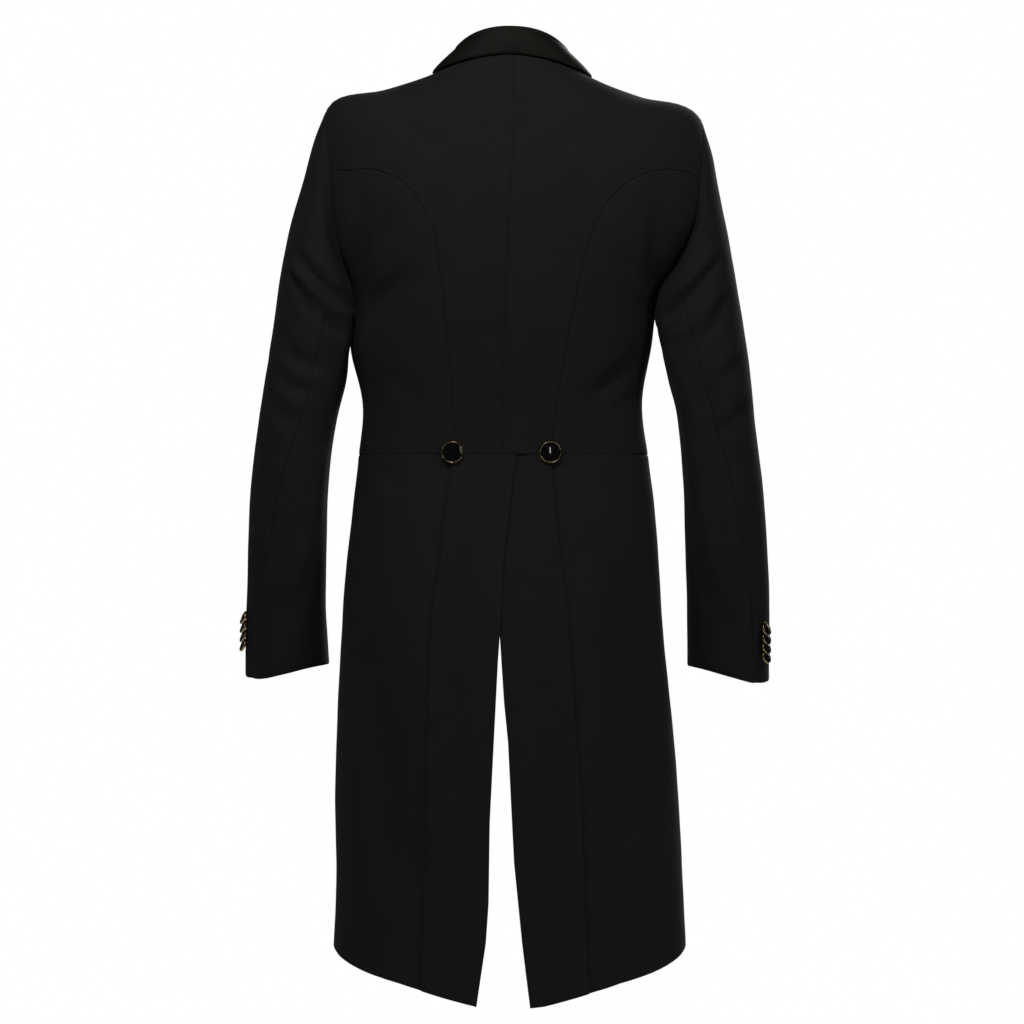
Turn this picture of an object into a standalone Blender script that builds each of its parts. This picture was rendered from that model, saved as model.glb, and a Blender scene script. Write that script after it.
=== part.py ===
"""Riding show jacket: a tailcoat with a velvet collar, as a hollow worn form with no wearer.

The coat is held at its neck, which is the origin. Z is up and the front faces -Y, so the
wearer's left is +X. Sizes in the tables are millimetres. The form is the outside of the cloth,
and every piece is a wall that is thickened inwards from it.
"""
from collections import namedtuple
import math

import bpy
import numpy as np
from mathutils import Matrix, Vector

MM = 0.001

# Cloth
CLOTH = 2.0
COLLAR_CLOTH = 1.8
SEAM_GAP = 0.3
LAYER_GAP = 0.4
UNDER = -(CLOTH + LAYER_GAP)

# Heights of the main lines of the coat
Z_WAIST = -412.0
LEAN = 0.027
LEAN_TOP = -100.0
LEAN_END = -300.0

# Rows and columns of each piece
ROWS_SHOULDER = 4
ROWS_ARM_BACK = 4
ROWS_ARM_SIDE = 6
ROWS_ARM_FRONT = 10
ROWS_SIDE_SEAM = 7
ROWS_TAIL = 14
COLS_BACK = 8
COLS_SIDE_BACK = 5
COLS_FRONT = 12
COLS_TAIL_BACK = 6
COLS_TAIL_SIDE = 8
COLS_LAPEL = 4
ROWS_LAPEL = 12
ROWS_SLEEVE = 17

# Rings of the body. The z columns are the heights at the back, side and front. The left and
# right half widths are measured from the centre-back seam at x = centre. back, front and
# side_y are the depths. square_b and square_f are 1 for an ellipse and less for a flatter back.
Ring = namedtuple("Ring", "z_back z_side z_front centre left right back front side_y square_b square_f")
RINGS = (
    Ring(29, 4, -62, -1, 70, 68, 57, 52, -4, 0.92, 0.95),
    Ring(-26, -19, -80, -2, 140, 137, 90, 78, -3, 0.84, 0.90),
    Ring(-88, -42, -122, -1, 202, 204, 110, 104, -1, 0.76, 0.84),
    Ring(-150, -150, -160, 3, 203, 216, 117, 119, -1, 0.74, 0.80),
    Ring(-236, -236, -236, 6.5, 166, 169, 114, 126, -1, 0.76, 0.80),
    Ring(-295, -295, -295, 8.5, 165, 159, 105, 122, 0, 0.78, 0.82),
    Ring(-355, -355, -355, 9.7, 153, 151, 94, 112, 0, 0.80, 0.84),
    Ring(Z_WAIST, Z_WAIST, Z_WAIST, 9.7, 157, 157.5, 89, 108, 0, 0.80, 0.84),
    Ring(-470, -470, -470, 9.2, 164, 164, 97, 112, 0, 0.80, 0.84),
    Ring(-540, -540, -540, 9.8, 171, 170.5, 108, 112, 0, 0.80, 0.84),
    Ring(-612, -612, -612, 10, 175.8, 175.2, 114, 110, 0, 0.80, 0.84),
    Ring(-699, -699, -699, 8, 182, 182, 115, 106, 0, 0.80, 0.84),
    Ring(-785, -785, -785, 5.4, 186.8, 186.8, 112, 102, 0, 0.80, 0.84),
    Ring(-872, -872, -872, 2.9, 188.5, 188.5, 108, 100, 0, 0.80, 0.84),
    Ring(-958, -958, -958, 2.5, 191.7, 191.7, 104, 98, 0, 0.80, 0.84),
    Ring(-1044, -1044, -1044, 2.5, 192, 192, 100, 96, 0, 0.80, 0.84),
)
RING_TABLE = np.array(RINGS, dtype=float)
T_TIP = 2.0
T_WAIST = 7.0
T_END = len(RINGS) - 1.0

# The curved back seam, seen from behind, from the armhole to the waist button
SeamPoint = namedtuple("SeamPoint", "x z")
BACK_SEAM = {
    "left": (
        SeamPoint(177, -108), SeamPoint(154, -106), SeamPoint(136, -111), SeamPoint(119, -119),
        SeamPoint(105, -135), SeamPoint(93, -154), SeamPoint(84, -176), SeamPoint(80, -199),
        SeamPoint(75.6, -233), SeamPoint(71.3, -274), SeamPoint(68, -309), SeamPoint(65.9, -335),
        SeamPoint(63.7, Z_WAIST),
    ),
    "right": (
        SeamPoint(-180, -107), SeamPoint(-155, -108), SeamPoint(-133, -115.6), SeamPoint(-115, -128),
        SeamPoint(-100.4, -145), SeamPoint(-90.7, -164), SeamPoint(-83, -181), SeamPoint(-78.8, -199),
        SeamPoint(-70, -240), SeamPoint(-61, -285), SeamPoint(-53, -330), SeamPoint(-46, -375),
        SeamPoint(-41, Z_WAIST),
    ),
}

# The armhole, seen from the side: an upright oval from the shoulder tip to the underarm
ARM_Y = -1.0
ARM_Z = -139.0
ARM_HALF_DEPTH = 62.0
ARM_HALF_HEIGHT = 97.0
ARM_SEAM_ANGLE = 72.0
SIDE_SEAM_TURN = 95.0
DIP_FROM = 117.5
SIDE = {"left": 1.0, "right": -1.0}


def smooth(x):
    """Go softly from 0 to 1 as x does."""
    x = min(max(x, 0.0), 1.0)
    return x * x * (3.0 - 2.0 * x)


def through(rows, t):
    """Read a table of rows at the fraction t as a smooth curve through them."""
    i = min(max(int(math.floor(t)), 0), len(rows) - 2)
    f = t - i
    p1 = rows[i]
    p2 = rows[i + 1]
    p0 = rows[i - 1] if i > 0 else 2 * p1 - p2
    p3 = rows[i + 2] if i + 2 < len(rows) else 2 * p2 - p1
    m1 = (p2 - p0) / 2
    m2 = (p3 - p1) / 2
    return (
        (2 * f**3 - 3 * f**2 + 1) * p1 + (f**3 - 2 * f**2 + f) * m1
        + (3 * f**2 - 2 * f**3) * p2 + (f**3 - f**2) * m2
    )


def power(value, exponent):
    """Raise a signed value to a power and keep its sign."""
    return math.copysign(abs(value) ** exponent, value)


def form(turn, t):
    """The outside of the body: turn is 0 at the centre back, 90 at the left side, -90 at the right."""
    ring = Ring(*through(RING_TABLE, t))
    a = math.radians(turn)
    behind = abs(turn) <= 90.0
    square = ring.square_b if behind else ring.square_f
    half = ring.left if turn >= 0 else ring.right
    depth = ring.back - ring.side_y if behind else ring.front + ring.side_y
    x = ring.centre + half * power(math.sin(a), square)
    y = ring.side_y + depth * power(math.cos(a), square)
    z_end = ring.z_back if behind else ring.z_front
    z = ring.z_side + (z_end - ring.z_side) * math.cos(a) ** 2
    lean = LEAN * x * smooth((z - LEAN_END) / (LEAN_TOP - LEAN_END))
    return np.array((x, y, z + lean))


def form_normal(turn, t):
    """The outward direction of the body's form."""
    d = 0.4
    t0 = max(t - 0.01, 0.0)
    t1 = min(t + 0.01, T_END)
    across = form(turn + d, t) - form(turn - d, t)
    down = form(turn, t1) - form(turn, t0)
    n = np.cross(across, down)
    return n / np.linalg.norm(n)


def find(axes, target, start, steps=40):
    """The place on the form, as turn and t, whose coordinates on two axes are the target."""
    place = np.array(start, dtype=float)
    target = np.array(target, dtype=float)
    for _ in range(steps):
        here = form(*place)[axes]
        miss = target - here
        if np.linalg.norm(miss) < 1e-6:
            break
        by_turn = (form(place[0] + 0.05, place[1])[axes] - here) / 0.05
        by_t = (form(place[0], place[1] + 0.001)[axes] - here) / 0.001
        step = np.linalg.lstsq(np.column_stack((by_turn, by_t)), miss, rcond=None)[0]
        step[0] = min(max(step[0], -6.0), 6.0)
        step[1] = min(max(step[1], -0.4), 0.4)
        place = place + step
        place[1] = min(max(place[1], 0.0), T_END)
    return place


def find_seen(x, z, front=False):
    """The place on the form that shows at x and z from behind, or from the front."""
    best = None
    turns = range(95, 178, 6) if front else range(3, 88, 6)
    for turn in turns:
        for t in np.arange(0.1, T_END, 0.35):
            for side in (1.0, -1.0):
                p = form(side * turn, t)
                miss = math.hypot(p[0] - x, p[2] - z)
                if best is None or miss < best[0]:
                    best = (miss, (side * turn, t))
    return find([0, 2], (x, z), best[1])


def polyline(points, count):
    """Read a list of places at count + 1 even steps of its length, smoothly."""
    rows = np.array(points, dtype=float)
    scale = np.array((1.0, 40.0))
    lengths = [0.0]
    for a, b in zip(rows[:-1], rows[1:]):
        lengths.append(lengths[-1] + float(np.linalg.norm((b - a) * scale)))
    out = []
    for k in range(count + 1):
        want = lengths[-1] * k / count
        i = 0
        while i < len(rows) - 2 and lengths[i + 1] < want:
            i += 1
        f = (want - lengths[i]) / max(lengths[i + 1] - lengths[i], 1e-9)
        out.append(through(rows, i + f))
    return out


def t_at(z):
    """The ring fraction at height z on the centre back."""
    low, high = 0.0, T_END
    for _ in range(50):
        mid = (low + high) / 2
        if through(RING_TABLE, mid)[0] > z:
            low = mid
        else:
            high = mid
    return (low + high) / 2


def turn_at(x, z):
    """The turn of the point at x on the back of a level ring at height z."""
    ring = Ring(*through(RING_TABLE, t_at(z)))
    half = ring.left if x >= ring.centre else ring.right
    share = min(max((x - ring.centre) / half, -1.0), 1.0)
    return math.degrees(math.asin(power(share, 1 / ring.square_b)))


def read(table, z):
    """Read the first column of a table of x and z rows at the height z."""
    rows = list(table)
    for a, b in zip(rows[:-1], rows[1:]):
        if z >= b[1] or b is rows[-1]:
            f = (z - a[1]) / (b[1] - a[1])
            return a[0] + (b[0] - a[0]) * min(max(f, 0.0), 1.0)
    return rows[-1][0]


def armhole(side):
    """The places on the form round one armhole, from the shoulder tip to the back and round."""
    s = SIDE[side]
    step_back = ARM_SEAM_ANGLE / ROWS_ARM_BACK
    step_side = (180 - ARM_SEAM_ANGLE) / ROWS_ARM_SIDE
    step_front = 180 / ROWS_ARM_FRONT
    angles = [step_back * i for i in range(ROWS_ARM_BACK)]
    angles += [ARM_SEAM_ANGLE + step_side * i for i in range(ROWS_ARM_SIDE)]
    angles += [180 + step_front * i for i in range(ROWS_ARM_FRONT)]
    places = [np.array((90 * s, T_TIP))]
    for angle in angles[1:]:
        a = math.radians(angle)
        y = ARM_Y + ARM_HALF_DEPTH * math.sin(a)
        z = ARM_Z + ARM_HALF_HEIGHT * math.cos(a)
        z += LEAN * 202.0 * s * smooth((z - LEAN_END) / (LEAN_TOP - LEAN_END))
        guess = places[-1]
        places.append(find([1, 2], (y, z), guess))
    return angles, places


def corner_inset(grid, k, j, sides):
    """How far an edge point moves into its piece, so that seams keep their gap."""
    move = np.zeros(3)
    last_k = len(grid) - 1
    last_j = len(grid[0]) - 1
    for name, here, (dk, dj) in (
        ("top", k == 0, (1, 0)), ("bottom", k == last_k, (-1, 0)),
        ("start", j == 0, (0, 1)), ("end", j == last_j, (0, -1)),
    ):
        if not here or name not in sides:
            continue
        inward = grid[k + dk][j + dj] - grid[k][j]
        if dk:
            along = grid[k][min(j + 1, last_j)] - grid[k][max(j - 1, 0)]
        else:
            along = grid[min(k + 1, last_k)][j] - grid[max(k - 1, 0)][j]
        along = along / np.linalg.norm(along)
        inward = inward - along * np.dot(inward, along)
        move += inward / np.linalg.norm(inward) * SEAM_GAP / 2
    return move


def wall(name, outer, inner, finish):
    """Make one closed piece from two grids of points that face each other."""
    rows, cols = len(outer), len(outer[0])
    verts = [p for row in outer for p in row] + [p for row in inner for p in row]
    back = rows * cols
    faces = []
    for k in range(rows - 1):
        for j in range(cols - 1):
            a, b = k * cols + j, k * cols + j + 1
            c, d = a + cols, b + cols
            faces += [(a, c, d), (a, d, b)]
            faces += [(back + a, back + d, back + c), (back + a, back + b, back + d)]
    rim = [k * cols for k in range(rows)]
    rim += [(rows - 1) * cols + j for j in range(1, cols)]
    rim += [k * cols + cols - 1 for k in range(rows - 2, -1, -1)]
    rim += [j for j in range(cols - 2, 0, -1)]
    for a, b in zip(rim, rim[1:] + rim[:1]):
        faces += [(b, a, back + a), (b, back + a, back + b)]
    mid_k, mid_j = rows // 2, cols // 2
    p = np.array(outer[mid_k - 1][mid_j - 1])
    across = np.array(outer[mid_k - 1][mid_j]) - p
    down = np.array(outer[mid_k][mid_j - 1]) - p
    outward = p - np.array(inner[mid_k - 1][mid_j - 1])
    if np.dot(np.cross(down, across), outward) < 0:
        faces = [tuple(reversed(f)) for f in faces]
    return add_mesh(name, verts, faces, finish)


def add_mesh(name, verts, faces, finish):
    """Make an object from points in millimetres."""
    mesh = bpy.data.meshes.new(name)
    mesh.from_pydata([tuple(float(c) * MM for c in v) for v in verts], [], faces)
    mesh.materials.append(finish)
    mesh.shade_smooth()
    mesh.set_sharp_from_angle(angle=math.radians(40))
    piece = bpy.data.objects.new(name, mesh)
    bpy.context.scene.collection.objects.link(piece)
    return piece


# The largest folds of the cloth. A fold runs from one end to the other in the view from
# behind or in front. Its depth is negative where the cloth sinks in.
Fold = namedtuple("Fold", "x1 z1 x2 z2 width depth face")
BODY_FOLDS = (
    Fold(131, -160, 148, -235, 26, -4.0, 1),
    Fold(-140, -165, -150, -245, 26, -4.0, 1),
    Fold(110, -225, 158, -262, 24, -3.0, 1),
    Fold(-136, -305, -88, -352, 24, -3.5, 1),
    Fold(150, -640, 122, -860, 60, -5.0, 1),
    Fold(-135, -560, -150, -800, 60, -4.0, 1),
)


def fold_depth(folds, p, outward_y):
    """How far the folds move the cloth at a point, along its outward direction."""
    total = 0.0
    for fold in folds:
        if outward_y * fold.face <= 0.0:
            continue
        a = np.array((fold.x1, fold.z1), dtype=float)
        b = np.array((fold.x2, fold.z2), dtype=float)
        q = np.array((p[0], p[2]))
        f = float(np.dot(q - a, b - a) / np.dot(b - a, b - a))
        away = float(np.linalg.norm(q - (a + (b - a) * min(max(f, 0.0), 1.0))))
        total += fold.depth * (1 - smooth(away / fold.width)) * min(1.0, abs(outward_y) * 2)
    return total


def panel(name, places, finish, lift=None, gaps=(), level=(), mitre=None, exact=None, thickness=CLOTH):
    """Make a piece of the body from a grid of places on the form.

    lift moves the cloth off the form. gaps names the edges that have a seam, level the rows
    whose cut edge is level, mitre the wall's direction at single points, and exact their position.
    """
    rows, cols = len(places), len(places[0])
    mitre = mitre or {}
    exact = exact or {}
    normals = [[form_normal(*places[k][j]) for j in range(cols)] for k in range(rows)]
    surface = []
    for k in range(rows):
        line = []
        for j in range(cols):
            p = form(*places[k][j])
            n = normals[k][j]
            seam = (k, j) in mitre
            off = 0.0 if lift is None else lift(p)
            off += 0.0 if seam else fold_depth(BODY_FOLDS, p, n[1])
            line.append(exact.get((k, j), p + n * off))
        surface.append(line)
    outer, inner = [], []
    for k in range(rows):
        outer_line, inner_line = [], []
        for j in range(cols):
            n = mitre.get((k, j), normals[k][j])
            flat = k in level and abs(places[k][j][0]) < DIP_FROM
            if flat:
                n = np.array((n[0], n[1], 0.0))
                n = n / np.linalg.norm(n)
            p = surface[k][j] + corner_inset(surface, k, j, gaps)
            if flat:
                down = SEAM_GAP / 2 if k else -SEAM_GAP / 2
                p[2] = Z_WAIST + down
            outer_line.append(p)
            inner_line.append(p - n * thickness)
        outer.append(outer_line)
        inner.append(inner_line)
    return wall(name, outer, inner, finish)


def ruled(start, end, cols):
    """Fill a grid of places between two edges that have the same number of rows."""
    return [[a + (b - a) * j / cols for j in range(cols + 1)] for a, b in zip(start, end)]


def finish_of(name, colour, roughness, metallic=0.0):
    """Make one plain finish."""
    finish = bpy.data.materials.new(name)
    finish.use_nodes = True
    shader = finish.node_tree.nodes["Principled BSDF"]
    shader.inputs["Base Color"].default_value = (*colour, 1.0)
    shader.inputs["Roughness"].default_value = roughness
    shader.inputs["Metallic"].default_value = metallic
    return finish


# Rows of the centre-back seam: how far down it lies where each row of the back ends
CENTRE_ROWS = ((0, 29.0), (8, -78.0), (10, -104.0), (13, -172.0), (21, Z_WAIST))
BODY_ROWS = ROWS_SHOULDER + ROWS_ARM_BACK + ROWS_ARM_SIDE + ROWS_SIDE_SEAM


def stepped(table, row):
    """Read a table of row and value at one row, straight between its lines."""
    for (r0, v0), (r1, v1) in zip(table[:-1], table[1:]):
        if row <= r1:
            return v0 + (v1 - v0) * (row - r0) / (r1 - r0)
    return table[-1][1]


def body_edges(side):
    """The shared edges of one half of the body, as lists of places on the form."""
    s = SIDE[side]
    angles, arm = armhole(side)
    shoulder = [np.array((90.0 * s, T_TIP * k / ROWS_SHOULDER)) for k in range(ROWS_SHOULDER + 1)]
    centre = [np.array((0.0, t_at(stepped(CENTRE_ROWS, k)))) for k in range(BODY_ROWS + 1)]
    count = ROWS_ARM_SIDE + ROWS_SIDE_SEAM
    seam_places = [arm[ROWS_ARM_BACK]] + [find_seen(p.x, p.z) for p in BACK_SEAM[side]]
    back_seam = polyline(seam_places, count)
    back_seam[-1][1] = T_WAIST
    arm_bottom = arm[ROWS_ARM_BACK + ROWS_ARM_SIDE]
    side_end = np.array((SIDE_SEAM_TURN * s, T_WAIST))
    side_seam = [arm_bottom + (side_end - arm_bottom) * k / ROWS_SIDE_SEAM for k in range(ROWS_SIDE_SEAM + 1)]
    return {
        "angles": angles, "arm": arm, "shoulder": shoulder, "centre": centre,
        "back_seam": back_seam, "side_seam": side_seam,
    }


def arm_mitres(side, edges, sleeve_rows):
    """The wall's direction at each armhole point: halfway between body and sleeve."""
    out = []
    for i, place in enumerate(edges["arm"]):
        n = form_normal(*place)
        a = math.radians(edges["angles"][i])
        m = n + sleeve_normal(side, sleeve_rows, a)
        out.append(m / np.linalg.norm(m))
    return out


# Sleeve rings seen from behind: the outer and the inner point, the depth from front to back,
# and how far the middle lies to the front (less) or the back (more)
SleeveRing = namedtuple("SleeveRing", "outer_x outer_z inner_x inner_z depth y")
SLEEVE = {
    "left": (
        SleeveRing(201, -38, 172.5, -236, 124, -1), SleeveRing(214, -70, 179.5, -243, 134, -1),
        SleeveRing(226, -112, 181.5, -254, 144, 0), SleeveRing(241, -164, 181, -272, 150, 1),
        SleeveRing(252, -222, 179, -301, 148, 3), SleeveRing(264, -305, 180.5, -332, 142, 6),
        SleeveRing(275, -375, 191, -378, 136, 8), SleeveRing(283, -440, 198.7, -440, 130, 5),
        SleeveRing(287, -510, 202, -510, 124, -4), SleeveRing(289.5, -580, 203, -576, 116, -18),
        SleeveRing(291.5, -650, 200, -638, 112, -34),
    ),
    "right": (
        SleeveRing(-206, -47, -163, -236, 124, -1), SleeveRing(-217, -84, -164, -244, 134, -1),
        SleeveRing(-225, -126, -165, -256, 144, 0), SleeveRing(-236, -178, -164.5, -272, 150, 1),
        SleeveRing(-246, -238, -165, -297, 148, 3), SleeveRing(-257, -310, -170, -330, 142, 6),
        SleeveRing(-264, -375, -179.5, -372, 136, 8), SleeveRing(-272, -440, -186, -436, 130, 5),
        SleeveRing(-278, -510, -188.5, -510, 124, -4), SleeveRing(-281, -580, -190.5, -576, 116, -18),
        SleeveRing(-281.5, -655, -192, -640, 112, -34),
    ),
}
SLEEVE_SQUARE = 0.86
SLEEVE_LENGTH = 10.0
UNDER_SLEEVE_FROM = 7
UNDER_SLEEVE_TO = 12
# The angle of each sleeve seam at the armhole, elbow and cuff
HIND_SEAM = {"left": (125.7, 100.0, 48.0), "right": (125.7, 100.0, 56.0)}
FORE_SEAM = (216.0, 222.0, 226.0)
SLEEVE_FOLDS = (
    Fold(242, -185, 188, -247, 16, -4.0, 1), Fold(180 + 28, -215, 184, -250, 12, 3.0, 1),
    Fold(258, -284, 236, -320, 20, -3.0, 1), Fold(204, -396, 214, -500, 22, 3.5, 1),
    Fold(214, -500, 268, -560, 22, 3.0, 1),
    Fold(-222, -206, -170, -260, 16, -4.0, 1), Fold(-234, -254, -212, -297, 18, -3.0, 1),
    Fold(-167, -294, -198, -430, 20, 3.5, 1), Fold(-198, -430, -240, -600, 24, 3.5, 1),
    Fold(-205, -330, -232, -480, 24, -2.5, 1),
    Fold(240, -330, 206, -372, 22, -4.0, -1), Fold(250, -380, 214, -410, 20, -3.5, -1),
    Fold(-232, -330, -196, -370, 22, -4.0, -1), Fold(-240, -385, -206, -415, 20, -3.5, -1),
)


def sleeve_form(side, s, a):
    """The outside of a sleeve: a is 0 outside, half pi behind and pi on the inner side."""
    ring = SleeveRing(*through(np.array(SLEEVE[side], dtype=float), s))
    outer = np.array((ring.outer_x, 0.0, ring.outer_z))
    inner = np.array((ring.inner_x, 0.0, ring.inner_z))
    across = (outer - inner) / 2 * power(math.cos(a), SLEEVE_SQUARE)
    deep = np.array((0.0, ring.depth / 2 * power(math.sin(a), SLEEVE_SQUARE), 0.0))
    return (outer + inner) / 2 + across + deep + np.array((0.0, ring.y, 0.0))


def sleeve_normal(side, s, a):
    """The outward direction of a sleeve."""
    d = 0.01
    s0 = max(s - 0.03, 0.0)
    s1 = min(s + 0.03, SLEEVE_LENGTH)
    round_it = sleeve_form(side, s, a + d) - sleeve_form(side, s, a - d)
    down = sleeve_form(side, s1, a) - sleeve_form(side, s0, a)
    n = np.cross(round_it, down) * SIDE[side]
    n = n / np.linalg.norm(n)
    ring = SleeveRing(*through(np.array(SLEEVE[side], dtype=float), s))
    middle = np.array(((ring.outer_x + ring.inner_x) / 2, ring.y, (ring.outer_z + ring.inner_z) / 2))
    return n if np.dot(n, sleeve_form(side, s, a) - middle) > 0 else -n


def three(values, f):
    """Read three values, at the start, the middle and the end, at the fraction f."""
    if f < 0.5:
        return values[0] + (values[1] - values[0]) * smooth(f * 2)
    return values[1] + (values[2] - values[1]) * smooth(f * 2 - 1)


def sleeve_piece(name, side, edges, mitres, columns, finish):
    """Make the top or under sleeve from the armhole points of its columns down to the cuff."""
    count = len(edges["angles"])
    angles = [edges["angles"][i % count] + 360 * (i // count) for i in columns]
    top_piece = len(columns) > count / 2
    first = [form(*edges["arm"][i % count]) for i in columns]
    aside = np.array((SEAM_GAP * SIDE[side], 0.0, 0.0))
    grid, normals = [], []
    for k in range(ROWS_SLEEVE + 1):
        f = k / ROWS_SLEEVE
        s = SLEEVE_LENGTH * f
        hind, fore = three(HIND_SEAM[side], f), three(FORE_SEAM, f)
        start, end = (fore, hind + 360) if top_piece else (hind, fore)
        line, line_normals = [], []
        for j, angle in enumerate(angles):
            share = (angle - angles[0]) / (angles[-1] - angles[0])
            a = math.radians(start + (end - start) * share)
            n = sleeve_normal(side, s, a)
            p = sleeve_form(side, s, a)
            keep = 1 - smooth(f / 0.22)
            p = p + (first[j] + aside - sleeve_form(side, 0.0, math.radians(angle))) * keep
            if k:
                p = p + n * fold_depth(SLEEVE_FOLDS, p, n[1])
            else:
                n = mitres[columns[j] % count]
            line.append(p)
            line_normals.append(n)
        grid.append(line)
        normals.append(line_normals)
    outer, inner = [], []
    for k, line in enumerate(grid):
        moved = [p + corner_inset(grid, k, j, ("start", "end")) for j, p in enumerate(line)]
        outer.append(moved)
        inner.append([p - n * CLOTH for p, n in zip(moved, normals[k])])
    return wall(name, outer, inner, finish)


# Tails: the edges seen from behind as x and z, and the hem height by turn
VENT = {
    "left": (
        (-5, -412), (1, -457), (3.6, -483), (9.7, -537), (13, -606), (15, -634), (19.4, -720),
        (23.8, -807), (25, -893), (28, -936), (34.6, -980), (39, -1010),
    ),
    "right": (
        (22, -412), (20, -500), (17, -560), (13, -608), (8.6, -677), (4.3, -720), (0, -807),
        (-2.2, -850), (-6.5, -893), (-10.8, -936), (-16.2, -980), (-20, -1010),
    ),
}
PLEAT = {
    "left": ((63.7, -412), (71, -470), (78, -533), (86.4, -587), (90, -700), (95, -909), (98.5, -1010)),
    "right": ((-41, -412), (-50, -500), (-61, -597), (-68, -700), (-75, -800), (-79, -909), (-84, -1010)),
}
HEM = ((0, -1007), (7, -1004), (23, -989), (33, -980), (50, -969), (66, -958), (80, -949), (120, -936))
TAIL_FRONT_TOP = 114.0
TAIL_FRONT_HEM = 92.0
PLEAT_TUCK = 14.0
VENT_LAP = 20.0


def tail_places(side, start_at, end_at, cols):
    """Places of a tail piece between two edges that are given as a turn for each height."""
    out = []
    for k in range(ROWS_TAIL + 1):
        f = k / ROWS_TAIL
        line = []
        for j in range(cols + 1):
            z = Z_WAIST + (-1000 - Z_WAIST) * f
            for _ in range(3):
                turn = start_at(z) + (end_at(z) - start_at(z)) * j / cols
                z = Z_WAIST + (stepped(HEM, abs(turn)) - Z_WAIST) * f
            line.append(np.array((turn, t_at(z) if k else T_WAIST)))
        out.append(line)
    return out


def vent_lift(p):
    """The right tail lies under the left one along the vent."""
    edge = read(VENT["left"], p[2]) - VENT_LAP
    deep = 1 - smooth((-640 - p[2]) / 60)
    return (UNDER - 0.4) * smooth((p[0] - edge) / 18) * deep


def build_tails(side, cloth):
    """Make the back tail and the side tail of one half."""
    s = SIDE[side]

    def vent(z):
        return turn_at(read(VENT[side], z), z)

    def pleat(z):
        return turn_at(read(PLEAT[side], z), z)

    def tucked(z):
        return turn_at(read(PLEAT[side], z) - s * PLEAT_TUCK, z)

    def front_edge(z):
        f = (z - Z_WAIST) / (-950 - Z_WAIST)
        return s * (TAIL_FRONT_TOP + (TAIL_FRONT_HEM - TAIL_FRONT_TOP) * min(f, 1.0))

    def under_pleat(p):
        past = s * (p[0] - read(PLEAT[side], p[2]))
        return (UNDER - 0.8) * (1 - smooth((past - 1.0) / 22))

    lift = vent_lift if side == "right" else None
    panel(f"tail_back_{side}", tail_places(side, vent, pleat, COLS_TAIL_BACK), cloth, lift, (), (0,))
    panel(f"tail_side_{side}", tail_places(side, tucked, front_edge, COLS_TAIL_SIDE), cloth, under_pleat,
          (), (0,))


# The front: the roll line and edge as x and z, and how the waist hem dips to a point
FRONT_EDGE = {
    "left": ((60, -14), (-10, -300), (-8, -360), (-6, -412)),
    "right": ((-60, -14), (25, -300), (26, -360), (27, -412)),
}
FRONT_ROWS = ((0, -14.0), (14, -300.0), (21, Z_WAIST))
DIP = ((0, 0.0), (117, 0.0), (140, 30.0), (160, 62.0), (172, 40.0), (200, 18.0))
DIP_ROWS = 5


def front_lift(p):
    """The right front lies under the left front."""
    edge = read(FRONT_EDGE["left"], p[2]) - 56
    return 2 * (UNDER - 0.9) * smooth((p[0] - edge) / 50) * smooth((-130 - p[2]) / 80)


def front_turn(x, z):
    """The turn of a point at x and z on the front of the form."""
    s = 1.0 if x >= Ring(*through(RING_TABLE, t_at(z))).centre else -1.0
    return find([0, 2], (x, z), (s * 165.0 if z < -120 else s * 140.0, t_at(z)))


def build_front(side, edges, mitres, cloth):
    """Make one front from the side seam to the roll line and the front edge."""
    s = SIDE[side]
    count = len(edges["arm"])
    arm_front = [edges["arm"][i % count] for i in range(count, ROWS_ARM_BACK + ROWS_ARM_SIDE - 1, -1)]
    outer_edge = edges["shoulder"] + arm_front[1:] + edges["side_seam"][1:]
    inner_edge = []
    for k in range(BODY_ROWS + 1):
        z = stepped(FRONT_ROWS, k)
        inner_edge.append(front_turn(read(FRONT_EDGE[side], z), z))
    for place in inner_edge:
        if place[0] * s < 0:
            place[0] += 360 * s
    inner_edge[-1][1] = T_WAIST
    places = ruled(outer_edge, inner_edge, COLS_FRONT)
    for k in range(BODY_ROWS - DIP_ROWS, BODY_ROWS + 1):
        share = smooth((k - BODY_ROWS + DIP_ROWS) / DIP_ROWS)
        for place in places[k]:
            z = through(RING_TABLE, place[1])[0] - stepped(DIP, abs(place[0])) * share
            place[1] = t_at(z) if share else place[1]
    directions = {}
    for i in range(ROWS_ARM_FRONT + 1):
        directions[(ROWS_SHOULDER + i, 0)] = mitres[(count - i) % count]
    return places, directions


# Lapels: the outer edge from the top corner to the roll line's end
LAPEL_EDGE = {
    "left": ((118, -66), (119, -96), (104, -160), (72, -225), (36, -268), (2, -288)),
    "right": ((-118, -70), (-119, -98), (-102, -160), (-68, -222), (-30, -258), (4, -276)),
}
LAPEL_TOP = -20.0
LAPEL_END = {"left": -294.0, "right": -284.0}
LAPEL_LIFT = CLOTH + 1.2
LAPEL_ROLL = 3.0


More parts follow.
